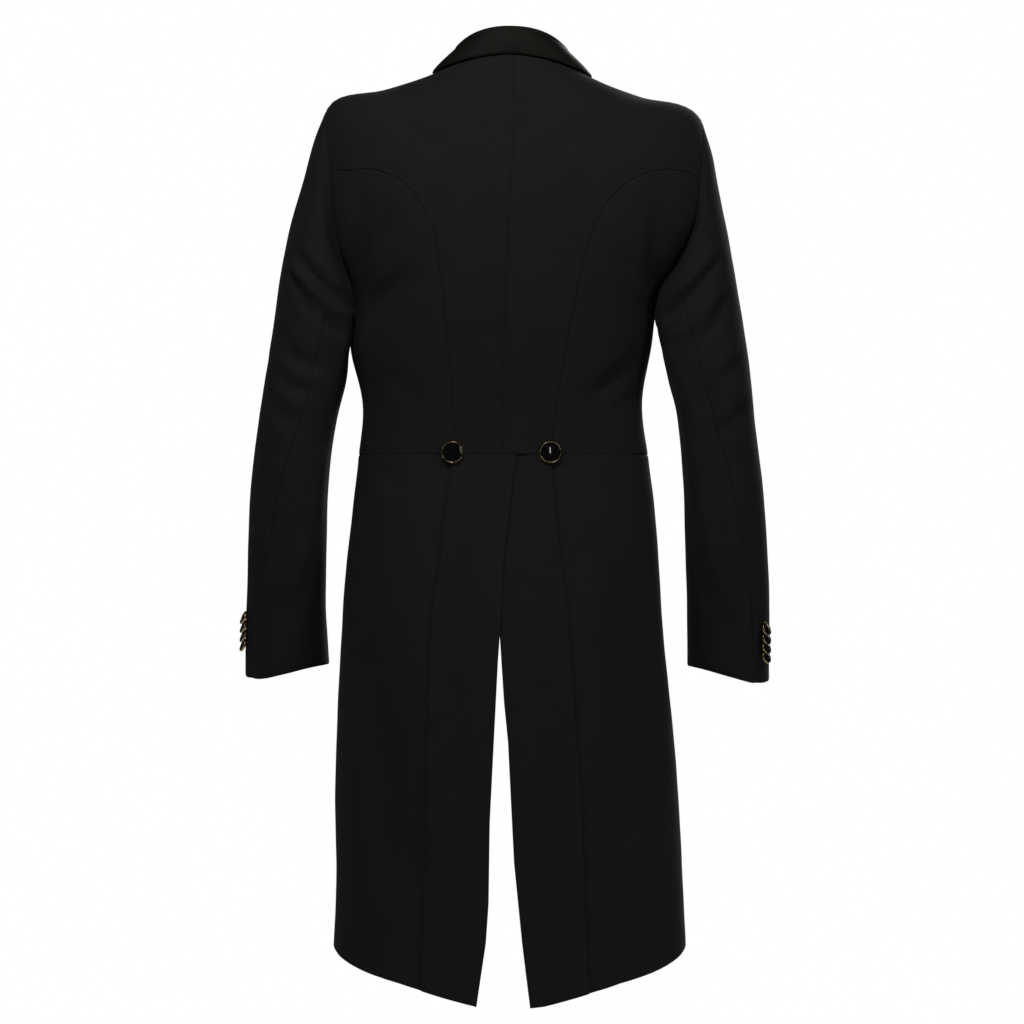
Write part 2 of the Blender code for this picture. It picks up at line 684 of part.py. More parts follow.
def build_lapel(side, cloth):
    """Make one lapel, turned out on its front from the roll line."""
    edge = np.array(LAPEL_EDGE[side], dtype=float)
    places = []
    for k in range(ROWS_LAPEL + 1):
        f = k / ROWS_LAPEL
        z = LAPEL_TOP + (LAPEL_END[side] - LAPEL_TOP) * f
        near = front_turn(read(FRONT_EDGE[side], z), z)
        corner = through(edge, f * (len(edge) - 1))
        far = front_turn(corner[0], corner[1])
        for place in (near, far):
            if place[0] * SIDE[side] < 0:
                place[0] += 360 * SIDE[side]
        places.append([near + (far - near) * j / COLS_LAPEL for j in range(COLS_LAPEL + 1)])

    def lift(p):
        base = front_lift(p) if side == "right" else 0.0
        near = abs(p[0] - read(FRONT_EDGE[side], p[2]))
        roll = LAPEL_ROLL * smooth(near / 12) * (1 - smooth((near - 12) / 40)) * smooth(1 + base / 2)
        return base + LAPEL_LIFT + roll

    panel(f"lapel_{side}", places, cloth, lift)


# The collar: by turn from the centre back, how high its stand is, how far the top leans out
# from the neck, and how far down the form its fall reaches
CollarRow = namedtuple("CollarRow", "turn rise lean reach")
COLLAR = (
    CollarRow(0, 18.8, 0.5, 0.20), CollarRow(30, 19.5, -1.0, 0.19), CollarRow(60, 20.0, -4.5, 0.16),
    CollarRow(80, 19.0, -6.0, 0.15), CollarRow(95, 16.0, -5.0, 0.21), CollarRow(107, 11.5, -3.0, 0.42),
    CollarRow(118, 7.0, -1.0, 0.74),
)
COLLAR_TABLE = np.array(COLLAR, dtype=float)
COLLAR_ROWS = 24
COLLAR_FOLD = 3.8
COLLAR_LIFT = COLLAR_CLOTH + 1.6
FALL_BULGE = 2.0
STAND_POINTS = 3
FALL_POINTS = 4


def collar_section(turn):
    """The outside of the collar from the foot of its stand, over the fold, to its fall's edge."""
    rows = [r.turn for r in COLLAR]
    i = max(n for n, value in enumerate(rows[:-1]) if value <= abs(turn) or n == 0)
    f = (abs(turn) - rows[i]) / (rows[i + 1] - rows[i])
    row = CollarRow(*through(COLLAR_TABLE, i + min(f, 1.0)))
    round_neck = form(turn + 3.0, 0.0) - form(turn - 3.0, 0.0)
    outward = np.array((-round_neck[1], round_neck[0], 0.0)) / math.hypot(round_neck[0], round_neck[1])
    foot = form(turn, 0.0) - outward * COLLAR_CLOTH + np.array((0.0, 0.0, 0.9 + 0.7 * smooth((abs(turn) - 88) / 20)))
    top = foot + np.array((0.0, 0.0, row.rise)) + outward * row.lean
    points = [foot + (top - foot) * k / STAND_POINTS for k in range(STAND_POINTS + 1)]
    high = np.array((0.0, 0.0, COLLAR_FOLD))
    for angle in (45.0, 90.0, 135.0, 180.0):
        a = math.radians(angle)
        points.append(top + outward * COLLAR_FOLD * (1 - math.cos(a)) + high * math.sin(a))
    shoulder = points[-1]
    end = form(turn, row.reach) + form_normal(turn, row.reach) * COLLAR_LIFT
    for k in range(1, FALL_POINTS + 1):
        g = k / FALL_POINTS
        p = shoulder + (end - shoulder) * g + outward * FALL_BULGE * math.sin(math.pi * g)
        lies = form(turn, row.reach * g)
        n = form_normal(turn, row.reach * g)
        points.append(p + n * max(0.0, COLLAR_LIFT - float(np.dot(p - lies, n))))
    return points, top + outward * COLLAR_FOLD, outward


def build_collar(velvet):
    """Make the collar as one folded wall round the neck."""
    last = COLLAR[-1].turn
    turns = [-last + 2 * last * k / COLLAR_ROWS for k in range(COLLAR_ROWS + 1)]
    sections = [collar_section(turn) for turn in turns]
    outer = [points for points, middle, outward in sections]
    rows, cols = len(outer), len(outer[0])
    inner = []
    for k in range(rows):
        middle, outward = sections[k][1:]
        line = [p + outward * COLLAR_CLOTH for p in outer[k][:STAND_POINTS]]
        share = 1 - COLLAR_CLOTH / COLLAR_FOLD
        line += [middle + (p - middle) * share for p in outer[k][STAND_POINTS:STAND_POINTS + 5]]
        for j in range(STAND_POINTS + 5, cols):
            along = outer[min(k + 1, rows - 1)][j] - outer[max(k - 1, 0)][j]
            over = outer[k][min(j + 1, cols - 1)] - outer[k][max(j - 1, 0)]
            n = np.cross(along, over)
            n = n / np.linalg.norm(n)
            line.append(outer[k][j] - n * COLLAR_CLOTH)
        inner.append(line)
    wall("collar", outer, inner, velvet)


# Buttons: a gold cup and a black domed face in it
WAIST_BUTTON_LIFT = 1.2
FRONT_BUTTON_LIFT = 0.6
Button = namedtuple("Button", "name x z radius sides")
WAIST_BUTTONS = (Button("waist_left", 63.7, -410.0, 11.4, 16), Button("waist_right", -41.0, -410.0, 11.4, 16))
FRONT_BUTTONS = (
    Button("front_1", 8.0, -312.0, 10.0, 16), Button("front_2", 9.0, -352.0, 10.0, 16),
    Button("front_3", 9.7, -392.0, 10.0, 16),
)
CUFF_RADIUS = 7.5
CUFF_SIDES = 12
CUFF_STEP = 10.0
CUFF_TILT = 26.0
CUFF_GAP = 0.1
CUFF_TOP = {"left": -589.0, "right": -601.0}
CUFF_ANGLE = {"left": 22.0, "right": 40.0}
CUP_HEIGHT = 2.6
CUP_FLOOR = 0.9
CUP_WALL = 1.2
FACE_DOME = 0.9
FIT = 0.25


def turned(name, profile, sides, finish, place):
    """Turn a profile of radius and height round its axis, closed at both ends, and place it."""
    verts, faces = [], []
    rings = []
    for radius, height in profile:
        if radius == 0.0:
            rings.append([len(verts)] * sides)
            verts.append(place @ Vector((0.0, 0.0, height)))
            continue
        rings.append(list(range(len(verts), len(verts) + sides)))
        for i in range(sides):
            a = 2 * math.pi * i / sides
            verts.append(place @ Vector((radius * math.cos(a), radius * math.sin(a), height)))
    for low, high in zip(rings[:-1], rings[1:]):
        for i in range(sides):
            a, b, c, d = low[i], low[(i + 1) % sides], high[(i + 1) % sides], high[i]
            if a == b:
                faces.append((a, c, d))
            elif c == d:
                faces.append((a, b, c))
            else:
                faces.append((a, b, c, d))
    return add_mesh(name, verts, faces, finish)


def build_button(name, radius, sides, place, gold, black):
    """Make the gold cup and the black face of one button."""
    inside = radius - CUP_WALL
    cup = [
        (0.0, 0.0), (radius - 0.5, 0.0), (radius, 0.6), (radius, CUP_HEIGHT - 0.4),
        (radius - 0.5, CUP_HEIGHT), (inside, CUP_HEIGHT - 0.3), (inside, CUP_FLOOR), (0.0, CUP_FLOOR),
    ]
    face_edge = inside - FIT
    face = [
        (0.0, CUP_FLOOR + FIT), (face_edge, CUP_FLOOR + FIT), (face_edge, CUP_HEIGHT - 0.6),
        (face_edge * 0.6, CUP_HEIGHT - 0.6 + FACE_DOME * 0.7), (0.0, CUP_HEIGHT - 0.6 + FACE_DOME),
    ]
    turned(f"{name}_rim", cup, sides, gold, place)
    turned(f"{name}_face", face, sides, black, place)


def facing(point, outward, tilt=0.0):
    """The placement of a button at a point, facing outward, with its lower edge tilted out."""
    z_axis = Vector(outward).normalized()
    side_axis = Vector((0.0, 0.0, 1.0)).cross(z_axis).normalized()
    y_axis = z_axis.cross(side_axis)
    turn = Matrix((side_axis, y_axis, z_axis)).transposed().to_4x4()
    return Matrix.Translation(Vector(point)) @ turn @ Matrix.Rotation(math.radians(tilt), 4, "X")


def build_buttons(gold, black):
    """Place the buttons of the waist, the front and the cuffs."""
    for button in WAIST_BUTTONS:
        place = find_seen(button.x, button.z)
        n = form_normal(*place)
        at = form(*place) + n * WAIST_BUTTON_LIFT
        build_button(button.name, button.radius, button.sides, facing(at, n), gold, black)
    for button in FRONT_BUTTONS:
        place = front_turn(button.x, button.z)
        n = form_normal(*place)
        at = form(*place) + n * FRONT_BUTTON_LIFT
        build_button(button.name, button.radius, button.sides, facing(at, n), gold, black)
    for side in SIDE:
        for i in range(4):
            z = CUFF_TOP[side] - CUFF_STEP * i
            a = math.radians(CUFF_ANGLE[side])
            s = min(np.linspace(8.0, SLEEVE_LENGTH, 400), key=lambda v: abs(sleeve_form(side, v, a)[2] - z))
            n = sleeve_normal(side, s, a)
            away = CUFF_RADIUS * math.sin(math.radians(CUFF_TILT)) + CUFF_GAP
            at = sleeve_form(side, s, a) + n * away
            build_button(f"cuff_{side}_{i + 1}", CUFF_RADIUS, CUFF_SIDES, facing(at, n, -CUFF_TILT), gold, black)


def build_body(side, cloth):
    """Make the back, side back, front and sleeve of one half."""
    edges = body_edges(side)
    mitres = arm_mitres(side, edges, 0.15)
    arm = edges["arm"]
    right_edge = edges["shoulder"] + arm[1:ROWS_ARM_BACK + 1] + edges["back_seam"][1:]
    back_mitres = {(ROWS_SHOULDER + i, COLS_BACK): mitres[i] for i in range(ROWS_ARM_BACK + 1)}
    panel(f"back_{side}", ruled(edges["centre"], right_edge, COLS_BACK), cloth, None,
          ("start", "end", "bottom"), (BODY_ROWS,), back_mitres)

    lower_arm = arm[ROWS_ARM_BACK:ROWS_ARM_BACK + ROWS_ARM_SIDE + 1]
    places = ruled(edges["back_seam"], lower_arm + edges["side_seam"][1:], COLS_SIDE_BACK)
    side_mitres = {(i, COLS_SIDE_BACK): mitres[ROWS_ARM_BACK + i] for i in range(1, ROWS_ARM_SIDE + 1)}
    first, second = form(*lower_arm[0]), form(*lower_arm[1])
    exact = {}
    for j in range(COLS_SIDE_BACK + 1):
        share = 0.4 * j / COLS_SIDE_BACK
        exact[(0, j)] = first + (second - first) * share
        places[0][j] = lower_arm[0] + (lower_arm[1] - lower_arm[0]) * share
        side_mitres[(0, j)] = mitres[ROWS_ARM_BACK] * (1 - share) + mitres[ROWS_ARM_BACK + 1] * share
    panel(f"side_back_{side}", places, cloth, None, ("start", "end", "bottom"),
          (len(places) - 1,), side_mitres, exact)

    places, directions = build_front(side, edges, mitres, cloth)
    panel(f"front_{side}", places, cloth, front_lift if side == "right" else None, ("start", "bottom"),
          (BODY_ROWS,), directions)

    count = len(arm)
    under = list(range(UNDER_SLEEVE_FROM, UNDER_SLEEVE_TO + 1))
    top = list(range(UNDER_SLEEVE_TO, count + UNDER_SLEEVE_FROM + 1))
    sleeve_piece(f"under_sleeve_{side}", side, edges, mitres, under, cloth)
    sleeve_piece(f"top_sleeve_{side}", side, edges, mitres, top, cloth)


def main():
    """Clear the scene and build the coat."""
    for old in list(bpy.data.objects):
        bpy.data.objects.remove(old, do_unlink=True)
    cloth = finish_of("black_wool", (0.012, 0.011, 0.012), 0.85)
    velvet = finish_of("collar_velvet", (0.02, 0.018, 0.013), 0.7)
    gold = finish_of("gold_metal", (0.72, 0.5, 0.22), 0.25, 1.0)
    black = finish_of("black_enamel", (0.008, 0.008, 0.008), 0.08)
    for side in SIDE:
        build_body(side, cloth)
        build_tails(side, cloth)
        build_lapel(side, cloth)
    build_collar(velvet)
    build_buttons(gold, black)


main()
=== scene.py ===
"""Riding show jacket: how the coat looks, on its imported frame.

The pieces repeat the form, seams and sizes of the solids in millimetres with a finer mesh, and
add creases, rounded edges, cloth, lining and turned buttons. Z is up and the front faces -Y.
"""
import math
from collections import namedtuple

import bpy
import numpy as np
from mathutils import Matrix, Vector


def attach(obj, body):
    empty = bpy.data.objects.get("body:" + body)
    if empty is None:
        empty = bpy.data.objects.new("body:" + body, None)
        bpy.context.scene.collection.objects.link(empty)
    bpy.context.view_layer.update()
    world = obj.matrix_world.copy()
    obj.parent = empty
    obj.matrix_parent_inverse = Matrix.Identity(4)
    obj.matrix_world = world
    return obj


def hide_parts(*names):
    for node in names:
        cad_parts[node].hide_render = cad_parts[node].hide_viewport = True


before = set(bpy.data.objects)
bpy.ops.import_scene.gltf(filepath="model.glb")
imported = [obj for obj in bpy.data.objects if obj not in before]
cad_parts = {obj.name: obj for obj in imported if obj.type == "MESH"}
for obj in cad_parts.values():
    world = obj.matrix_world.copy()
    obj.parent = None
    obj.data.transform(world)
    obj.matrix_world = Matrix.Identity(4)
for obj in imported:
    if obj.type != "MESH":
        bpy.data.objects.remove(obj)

bl_info = {
    "name": "Riding show jacket",
    "version": (1, 0, 0),
    "blender": (4, 5, 0),
    "location": "View3D > Sidebar > Jacket",
    "description": "Builds a riding tailcoat with a velvet collar and gold-rimmed buttons on its frame",
    "category": "Object",
}

MM = 0.001

# Cloth
CLOTH = 2.0
COLLAR_CLOTH = 1.8
SEAM_GAP = 0.3
LAYER_GAP = 0.4
UNDER = -(CLOTH + LAYER_GAP)

# How a sewn edge sinks in and the cloth beside it swells, and how a free edge rounds off
SEAM_DEPTH = 0.6
SEAM_WIDTH = 1.1
SWELL = 0.18
SWELL_AT = 4.2
SWELL_WIDTH = 2.2
EDGE_ROUND = 0.65
EDGE_WIDTH = 1.0

# Heights of the main lines of the coat
Z_WAIST = -412.0
LEAN = 0.027
LEAN_TOP = -100.0
LEAN_END = -300.0

# Rows and columns of each piece
ROWS_SHOULDER = 16
ROWS_ARM_BACK = 16
ROWS_ARM_SIDE = 24
ROWS_ARM_FRONT = 40
ROWS_SIDE_SEAM = 28
ROWS_TAIL = 110
ROWS_LAPEL = 60
ROWS_SLEEVE = 120
# About how wide each piece is, and its columns
COLUMNS = {
    "back": (120.0, 30), "side_back": (90.0, 20), "front": (190.0, 44), "lapel": (60.0, 18),
    "tail_back": (85.0, 20), "tail_side": (190.0, 42),
}
TOP_SLEEVE_WIDTH = 330.0
UNDER_SLEEVE_WIDTH = 115.0
BODY_ROWS = ROWS_SHOULDER + ROWS_ARM_BACK + ROWS_ARM_SIDE + ROWS_SIDE_SEAM

# Rings of the body. The z columns are the heights at the back, side and front. The left and
# right half widths are measured from the centre-back seam at x = centre. back, front and
# side_y are the depths. square_b and square_f are 1 for an ellipse and less for a flatter back.
Ring = namedtuple("Ring", "z_back z_side z_front centre left right back front side_y square_b square_f")
RINGS = (
    (29, 4, -62, -1, 70, 68, 57, 52, -4, 0.92, 0.95),
    (-26, -19, -80, -2, 140, 137, 90, 78, -3, 0.84, 0.90),
    (-88, -42, -122, -1, 202, 204, 110, 104, -1, 0.76, 0.84),
    (-150, -150, -160, 3, 203, 216, 117, 119, -1, 0.74, 0.80),
    (-236, -236, -236, 6.5, 169, 170, 114, 126, -1, 0.76, 0.80),
    (-295, -295, -295, 8.5, 167, 160, 105, 122, 0, 0.78, 0.82),
    (-355, -355, -355, 9.7, 153, 151, 94, 112, 0, 0.80, 0.84),
    (Z_WAIST, Z_WAIST, Z_WAIST, 9.7, 157, 157.5, 89, 108, 0, 0.80, 0.84),
    (-470, -470, -470, 9.2, 164, 164, 97, 112, 0, 0.80, 0.84),
    (-540, -540, -540, 9.8, 171, 170.5, 108, 112, 0, 0.80, 0.84),
    (-612, -612, -612, 10, 175.8, 175.2, 114, 110, 0, 0.80, 0.84),
    (-699, -699, -699, 8, 182, 182, 115, 106, 0, 0.80, 0.84),
    (-785, -785, -785, 5.4, 186.8, 186.8, 112, 102, 0, 0.80, 0.84),
    (-872, -872, -872, 2.9, 188.5, 188.5, 108, 100, 0, 0.80, 0.84),
    (-958, -958, -958, 2.5, 191.7, 191.7, 104, 98, 0, 0.80, 0.84),
    (-1044, -1044, -1044, 2.5, 192, 192, 100, 96, 0, 0.80, 0.84),
)
RING_TABLE = np.array(RINGS, dtype=float)
T_TIP = 2.0
T_WAIST = 7.0
T_END = len(RINGS) - 1.0

# The curved back seam as x and z, seen from behind, from the armhole to the waist button
BACK_SEAM = {
    "left": (
        (177, -108), (154, -106), (136, -111), (119, -119),
        (105, -135), (93, -154), (84, -176), (80, -199),
        (75.6, -233), (71.3, -274), (68, -309), (65.9, -335),
        (63.7, Z_WAIST),
    ),
    "right": (
        (-180, -107), (-155, -108), (-133, -115.6), (-115, -128),
        (-100.4, -145), (-90.7, -164), (-83, -181), (-78.8, -199),
        (-70, -240), (-61, -285), (-53, -330), (-46, -375),
        (-41, Z_WAIST),
    ),
}

# The armhole, seen from the side: an upright oval from the shoulder tip to the underarm
ARM_Y = -1.0
ARM_Z = -139.0
ARM_HALF_DEPTH = 62.0
ARM_HALF_HEIGHT = 97.0
ARM_SEAM_ANGLE = 72.0
SHOULDER_HALF = 202.0
SIDE_SEAM_TURN = 95.0
DIP_FROM = 117.5
SIDE = {"left": 1.0, "right": -1.0}


def smooth(x):
    """Go softly from 0 to 1 as x does."""
    x = min(max(x, 0.0), 1.0)
    return x * x * (3.0 - 2.0 * x)


def through(rows, t):
    """Read a table of rows at the fraction t as a smooth curve through them."""
    i = min(max(int(math.floor(t)), 0), len(rows) - 2)
    f = t - i
    p1 = rows[i]
    p2 = rows[i + 1]
    p0 = rows[i - 1] if i > 0 else 2 * p1 - p2
    p3 = rows[i + 2] if i + 2 < len(rows) else 2 * p2 - p1
    m1 = (p2 - p0) / 2
    m2 = (p3 - p1) / 2
    return (
        (2 * f**3 - 3 * f**2 + 1) * p1 + (f**3 - 2 * f**2 + f) * m1
        + (3 * f**2 - 2 * f**3) * p2 + (f**3 - f**2) * m2
    )


def power(value, exponent):
    """Raise a signed value to a power and keep its sign."""
    return math.copysign(abs(value) ** exponent, value)


def form(turn, t):
    """The outside of the body: turn is 0 at the centre back, 90 at the left side, -90 at the right."""
    ring = Ring(*through(RING_TABLE, t))
    a = math.radians(turn)
    behind = abs(turn) <= 90.0
    square = ring.square_b if behind else ring.square_f
    half = ring.left if turn >= 0 else ring.right
    depth = ring.back - ring.side_y if behind else ring.front + ring.side_y
    x = ring.centre + half * power(math.sin(a), square)
    y = ring.side_y + depth * power(math.cos(a), square)
    z_end = ring.z_back if behind else ring.z_front
    z = ring.z_side + (z_end - ring.z_side) * math.cos(a) ** 2
    lean = LEAN * x * smooth((z - LEAN_END) / (LEAN_TOP - LEAN_END))
    return np.array((x, y, z + lean))


def form_normal(turn, t):
    """The outward direction of the body's form."""
    d = 0.4
    t0 = max(t - 0.01, 0.0)
    t1 = min(t + 0.01, T_END)
    across = form(turn + d, t) - form(turn - d, t)
    down = form(turn, t1) - form(turn, t0)
    n = np.cross(across, down)
    return n / np.linalg.norm(n)


def find(axes, target, start, steps=40):
    """The place on the form, as turn and t, whose coordinates on two axes are the target."""
    place = np.array(start, dtype=float)
    target = np.array(target, dtype=float)
    for _ in range(steps):
        here = form(*place)[axes]
        miss = target - here
        if np.linalg.norm(miss) < 1e-6:
            break
        by_turn = (form(place[0] + 0.05, place[1])[axes] - here) / 0.05
        by_t = (form(place[0], place[1] + 0.001)[axes] - here) / 0.001
        step = np.linalg.lstsq(np.column_stack((by_turn, by_t)), miss, rcond=None)[0]
        step[0] = min(max(step[0], -6.0), 6.0)
        step[1] = min(max(step[1], -0.4), 0.4)
        place = place + step
        place[1] = min(max(place[1], 0.0), T_END)
    return place


def find_seen(x, z, front=False):
    """The place on the form that shows at x and z from behind, or from the front."""
    best = None
    turns = range(95, 178, 6) if front else range(3, 88, 6)
    for turn in turns:
        for t in np.arange(0.1, T_END, 0.35):
            for side in (1.0, -1.0):
                p = form(side * turn, t)
                miss = math.hypot(p[0] - x, p[2] - z)
                if best is None or miss < best[0]:
                    best = (miss, (side * turn, t))
    return find([0, 2], (x, z), best[1])


def polyline(points, count):
    """Read a list of places at count + 1 even steps of its length, smoothly."""
    rows = np.array(points, dtype=float)
    scale = np.array((1.0, 40.0))
    lengths = [0.0]
    for a, b in zip(rows[:-1], rows[1:]):
        lengths.append(lengths[-1] + float(np.linalg.norm((b - a) * scale)))
    out = []
    for k in range(count + 1):
        want = lengths[-1] * k / count
        i = 0
        while i < len(rows) - 2 and lengths[i + 1] < want:
            i += 1
        f = (want - lengths[i]) / max(lengths[i + 1] - lengths[i], 1e-9)
        out.append(through(rows, i + f))
    return out


FINE_T = np.linspace(0.0, T_END, 3001)
FINE_Z = np.array([-through(RING_TABLE, t)[0] for t in FINE_T])


def t_at(z):
    """The ring fraction at height z on the centre back."""
    return float(np.interp(-z, FINE_Z, FINE_T))


def turn_at(x, z):
    """The turn of the point at x on the back of a level ring at height z."""
    ring = Ring(*through(RING_TABLE, t_at(z)))
    half = ring.left if x >= ring.centre else ring.right
    share = min(max((x - ring.centre) / half, -1.0), 1.0)
    return math.degrees(math.asin(power(share, 1 / ring.square_b)))


def read(table, z):
    """Read the first column of a table of x and z rows at the height z."""
    rows = list(table)
    for a, b in zip(rows[:-1], rows[1:]):
        if z >= b[1] or b is rows[-1]:
            f = (z - a[1]) / (b[1] - a[1])
            return a[0] + (b[0] - a[0]) * min(max(f, 0.0), 1.0)
    return rows[-1][0]


def armhole(side):
    """The places on the form round one armhole, from the shoulder tip to the back and round."""
    s = SIDE[side]
    step_back = ARM_SEAM_ANGLE / ROWS_ARM_BACK
    step_side = (180 - ARM_SEAM_ANGLE) / ROWS_ARM_SIDE
    step_front = 180 / ROWS_ARM_FRONT
    angles = [step_back * i for i in range(ROWS_ARM_BACK)]
    angles += [ARM_SEAM_ANGLE + step_side * i for i in range(ROWS_ARM_SIDE)]
    angles += [180 + step_front * i for i in range(ROWS_ARM_FRONT)]
    places = [np.array((90 * s, T_TIP))]
    for angle in angles[1:]:
        a = math.radians(angle)
        y = ARM_Y + ARM_HALF_DEPTH * math.sin(a)
        z = ARM_Z + ARM_HALF_HEIGHT * math.cos(a)
        z += LEAN * SHOULDER_HALF * s * smooth((z - LEAN_END) / (LEAN_TOP - LEAN_END))
        guess = places[-1]
        places.append(find([1, 2], (y, z), guess))
    return angles, places


# Creases, each along a path of x and z as seen from behind or in front. Depth is negative where
# the cloth sinks in, lip is how far the cloth beside it stands up, and ends are the shares of
# its length over which it fades out.
Crease = namedtuple("Crease", "path width depth face lip ends")
CREASES = tuple(Crease(*row) for row in (
    (((131, -160), (148, -235)), 14, -4.1, 1, 0, (0, 0)),
    (((-140, -165), (-150, -245)), 14, -4.1, 1, 0, (0, 0)),
    (((110, -225), (158, -262)), 13, -2.7, 1, 0, (0, 0)),
    (((-136, -305), (-88, -352)), 13, -2.7, 1, 0, (0, 0)),
    (((158, -128), (163, -206), (162, -295)), 9, -6.8, 1, 0.6, (0.25, 0.35)),
    (((130, -156), (153, -196)), 8, -3.5, 1, 0.4, (0.4, 0.4)),
    (((112, -216), (160, -258)), 9, -4.3, 1, 0.5, (0.4, 0.3)),
    (((96, -190), (134, -240)), 11, -2.4, 1, 0.4, (0.4, 0.4)),
    (((-158, -138), (-155, -204), (-158, -262)), 9, -6.8, 1, 0.6, (0.25, 0.35)),
    (((-108, -186), (-148, -238)), 10, -3.2, 1, 0.4, (0.4, 0.3)),
    (((-139, -303), (-85, -352)), 8, -4.3, 1, 0.5, (0.35, 0.35)),
    (((-144, -336), (-104, -372)), 8, -2.4, 1, 0.4, (0.35, 0.35)),
    (((136, -318), (92, -368)), 9, -3.0, 1, 0.4, (0.4, 0.4)),
    (((-20, -356), (48, -370)), 12, -1.6, 1, 0.3, (0.4, 0.4)),
    (((60, -45), (46, -40), (-84, -35)), 4.5, -1.4, 1, 0.3, (0.2, 0.3)),
    (((40, -60), (100, -88)), 16, -2.4, 1, 0.3, (0.4, 0.4)),
    (((-46, -64), (-102, -92)), 16, -2.2, 1, 0.3, (0.4, 0.4)),
    (((150, -640), (122, -860)), 32, -6.8, 1, 0, (0, 0)),
    (((-135, -560), (-150, -800)), 32, -5.4, 1, 0, (0, 0)),
    (((163, -600), (142, -740), (124, -892)), 15, -4.9, 1, 0.6, (0.3, 0.3)),
    (((-104, -470), (-118, -640), (-128, -860)), 19, -4.6, 1, 0.6, (0.3, 0.3)),
    (((58, -500), (64, -700), (56, -900)), 17, -3.0, 1, 0.5, (0.4, 0.3)),
    (((-32, -480), (-42, -700), (-40, -880)), 17, -3.0, 1, 0.5, (0.4, 0.3)),
    (((150, -430), (112, -452)), 9, -2.2, 1, 0.4, (0.4, 0.4)),
    (((150, -120), (128, -190), (120, -260)), 11, -4.9, -1, 0.5, (0.3, 0.4)),
    (((-150, -124), (-126, -196), (-118, -262)), 11, -4.3, -1, 0.5, (0.3, 0.4)),
    (((112, -290), (52, -346)), 9, -3.5, -1, 0.4, (0.35, 0.35)),
    (((-106, -296), (-44, -350)), 9, -3.2, -1, 0.4, (0.35, 0.35)),
    (((118, -352), (60, -386)), 8, -2.7, -1, 0.4, (0.35, 0.35)),
))
SLEEVE_CREASES = tuple(Crease(*row) for row in (
    (((278, -571), (285, -660)), 4, -2.4, 1, 0.7, (0.1, 0)),
    (((-260, -571), (-267, -660)), 4, -2.4, 1, 0.7, (0.1, 0)),
    (((239, -187), (215, -220), (180, -249)), 6, -5.0, 1, 0.7, (0.2, 0)),
    (((214, -196), (184, -232)), 6, 3.0, 1, 0, (0.3, 0.1)),
    (((236, -204), (206, -246), (184, -266)), 6, 3.4, 1, 0, (0.25, 0.1)),
    (((246, -205), (223, -250), (208, -270)), 6, -4.6, 1, 0.5, (0.3, 0.3)),
    (((250, -226), (236, -258), (224, -280)), 6, -2.8, 1, 0.5, (0.3, 0.35)),
    (((208, -262), (182, -288)), 6, -3.6, 1, 0.6, (0.35, 0.1)),
    (((257, -272), (238, -306), (196, -326)), 8, -5.0, 1, 0.7, (0.25, 0.25)),
    (((262, -302), (244, -336), (204, -352)), 7, -3.4, 1, 0.6, (0.3, 0.3)),
    (((270, -340), (246, -372), (214, -390)), 9, -3.4, 1, 0.5, (0.3, 0.35)),
    (((204, -396), (212, -455), (217, -501), (238, -550), (268, -563)), 10, 4.6, 1, 0, (0.15, 0.2)),
    (((262, -450), (256, -510), (264, -556)), 10, -3.2, 1, 0.4, (0.4, 0.4)),
    (((-230, -192), (-200, -232), (-168, -262)), 6, -5.0, 1, 0.7, (0.2, 0)),
    (((-206, -206), (-174, -240)), 6, 3.0, 1, 0, (0.3, 0.1)),
    (((-240, -226), (-222, -262), (-206, -296)), 7, -4.6, 1, 0.6, (0.3, 0.35)),
    (((-218, -240), (-190, -276), (-172, -286)), 6, 3.0, 1, 0, (0.3, 0.2)),
    (((-167, -294), (-186, -346), (-199, -433), (-210, -496), (-225, -548), (-243, -605)), 10, 5.0,
     1, 0, (0.05, 0.2)),
    (((-207, -330), (-232, -480)), 12, -3.8, 1, 0, (0.2, 0.2)),
    (((-262, -344), (-238, -380), (-212, -394)), 8, -3.6, 1, 0.6, (0.3, 0.35)),
    (((-256, -292), (-238, -322), (-218, -336)), 7, -3.2, 1, 0.6, (0.3, 0.35)),
    (((240, -330), (206, -372)), 12, -4.0, -1, 0.4, (0.15, 0.15)),
    (((250, -380), (214, -410)), 11, -3.5, -1, 0.4, (0.15, 0.15)),
    (((232, -200), (196, -246)), 10, -3.4, -1, 0.4, (0.3, 0.2)),
    (((-232, -330), (-196, -370)), 12, -4.0, -1, 0.4, (0.15, 0.15)),
    (((-240, -385), (-206, -415)), 11, -3.5, -1, 0.4, (0.15, 0.15)),
    (((-226, -206), (-188, -250)), 10, -3.4, -1, 0.4, (0.3, 0.2)),
))


def soft(x):
    """Go softly from 0 to 1 as each value does."""
    x = np.clip(x, 0.0, 1.0)
    return x * x * (3.0 - 2.0 * x)


def unit(v):
    """Bring the directions in an array to length one."""
    return v / np.maximum(np.linalg.norm(v, axis=-1, keepdims=True), 1e-9)


